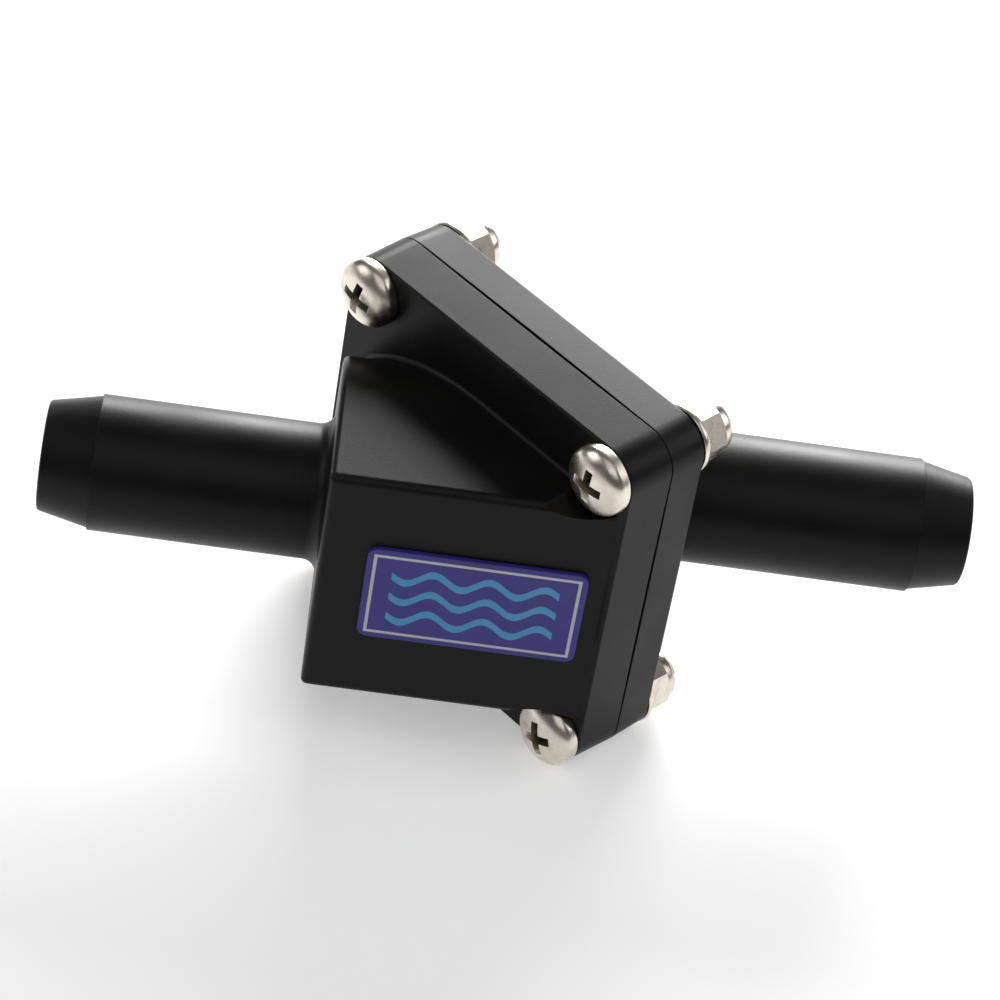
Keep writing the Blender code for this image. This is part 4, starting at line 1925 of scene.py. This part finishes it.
@dataclass(frozen=True)
class Studio:
    """Camera, lamps and floor.

    Attributes:
        eye: The camera's place relative to the valve's centre.
        right: The camera's right-hand direction.
        up: The camera's upward direction.
        lens: Focal length in mm.
        sensor: Width of the camera's sensor in mm.
        nearest: How near to the camera a thing still shows.
        floor_shade: How much of the floor's colour is left in its faint patches.
        floor_patch: Size of these patches.
        floor_glow: How far the floor is brightened where the camera or a mirroring face sees it.
        sky: How bright the sky is.
    """

    frame: ValveFrame
    eye: tuple[float, float, float] = (-0.0312, -0.4258, 0.3637)
    right: tuple[float, float, float] = (0.9895, 0.0459, 0.1368)
    up: tuple[float, float, float] = (-0.1335, 0.6510, 0.7472)
    lens: float = 144.0
    sensor: float = 36.0
    nearest: float = 0.01
    floor_size: float = 6.0
    floor_colour: Colour = (0.86, 0.86, 0.86)
    floor_shade: float = 0.985
    floor_patch: float = 0.4
    floor_glow: float = 0.4
    sky: float = 0.08
    lamps: tuple[Lamp, ...] = (
        Lamp("back_window", 171.0, 19.5, 0.9, (0.52, 0.46), 19.0),
        Lamp("left_screen", -95.0, 32.0, 0.9, (0.5, 0.5), 2.0),
        Lamp("right_screen", 95.0, 32.0, 0.9, (0.5, 0.5), 2.0),
        Lamp("front_screen", 0.0, 58.0, 1.2, (1.1, 1.1), 0.8),
    )

    def build(self) -> None:
        """Sets up the camera, the lamps, the floor and the sky."""
        self._stand_camera()
        for lamp in self.lamps:
            lamp.light(self.frame.centre)
        self._lay_floor()
        self._paint_sky()
        bpy.context.scene.view_settings.view_transform = "Standard"

    def _stand_camera(self) -> None:
        """Stands the camera at the photograph's viewing angle."""
        data = bpy.data.cameras.new("camera")
        data.lens, data.sensor_width, data.clip_start = self.lens, self.sensor, self.nearest
        camera = add_object("camera", data)
        right, up = Vector(self.right).normalized(), Vector(self.up).normalized()
        turn = Matrix((right, up, right.cross(up))).transposed().to_4x4()
        camera.matrix_world = Matrix.Translation(self.frame.centre + Vector(self.eye)) @ turn
        bpy.context.scene.camera = camera

    def _lay_floor(self) -> None:
        """Lays the pale floor that the valve stands on."""
        clear_bench()
        bpy.ops.mesh.primitive_plane_add(size=self.floor_size)
        floor = newest("floor")
        sheet = NodeSheet("pale floor")
        shade = tuple(self.floor_shade * part for part in self.floor_colour)
        path = sheet.add("ShaderNodeLightPath").outputs
        seen = sheet.math("MAXIMUM", path["Is Camera Ray"], path["Is Glossy Ray"])
        seen = sheet.math("MAXIMUM", seen, path["Is Transmission Ray"])
        sheet.set(
            Base_Color=sheet.mix(sheet.noise(self.floor_patch, detail=2), self.floor_colour, shade),
            Roughness=0.9,
            Specular_IOR_Level=0.0,
            Emission_Color=(1.0, 1.0, 1.0, 1.0),
            Emission_Strength=sheet.math("MULTIPLY", seen, self.floor_glow),
        )
        floor.data.materials.append(sheet.material)

    def _paint_sky(self) -> None:
        """Paints a dim, even sky."""
        world = bpy.data.worlds.new("sky")
        world.use_nodes = True
        bpy.context.scene.world = world
        background = world.node_tree.nodes["Background"]
        background.inputs["Color"].default_value = (1.0, 1.0, 1.0, 1.0)
        background.inputs["Strength"].default_value = self.sky


def main() -> None:
    """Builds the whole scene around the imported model."""
    logging.basicConfig(level=logging.INFO, format="%(name)s: %(message)s")
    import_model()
    frame = ValveFrame.from_gasket()

    finishes = {
        Slot.PLASTIC: MouldedPlastic("black moulded plastic", (0.005, 0.0046, 0.0045), (0.008, 0.0074, 0.007),
                                     (0.013, 0.0118, 0.0108), (0.34, 0.46)).make(),
        Slot.RUBBER: Rubber("black rubber", (0.012, 0.012, 0.012), (0.03, 0.03, 0.029)).make(),
        Slot.STEEL: Metal("polished stainless", (0.78, 0.72, 0.63), (0.62, 0.55, 0.47), (0.24, 0.36), 0.12).make(),
        Slot.BRASS: Metal("turned brass", (0.62, 0.44, 0.18), (0.46, 0.3, 0.12), (0.22, 0.4), 0.3).make(),
        Slot.NYLON: Nylon("natural nylon", (0.78, 0.77, 0.71), (0.68, 0.66, 0.59)).make(),
    }

    outlet_flange, inlet_flange = FlangeHalf(7.6 * MM), FlangeHalf(6.35 * MM)
    outlet_tail = HoseTail(Side.OUTLET, -5.5 * MM, 64.2 * MM)
    inlet_tail = HoseTail(Side.INLET, 4.6 * MM, 65.5 * MM)
    chamber = FlapChamber()
    cove = JunctionCove(outlet_flange, chamber)
    outlet = OutletMoulding(frame, outlet_flange, chamber, outlet_tail, cove).build()
    hand_over(outlet, Body.HOUSING, finishes[Slot.PLASTIC], "outlet_body")
    inlet = InletMoulding(frame, inlet_flange, inlet_tail).build()
    hand_over(inlet, Body.HOUSING, finishes[Slot.PLASTIC], "inlet_body")
    Fasteners(frame, outlet_flange, inlet_flange).build(finishes[Slot.STEEL], finishes[Slot.NYLON])

    label, middle, half = LabelPlate().build()
    film = PrintedFilm("printed film", (0.05, 0.042, 0.34), (0.72, 0.76, 0.82), (0.1, 0.42, 0.8), middle, half)
    hand_over(label, Body.HOUSING, film.make(), "label_plate")

    gasket = RubberGasket().build(frame)
    hand_over(gasket, Body.HOUSING, finishes[Slot.RUBBER], "flap_gasket")
    FlapStack(frame).build(finishes)
    Studio(frame).build()


if __name__ == "__main__":
    main()
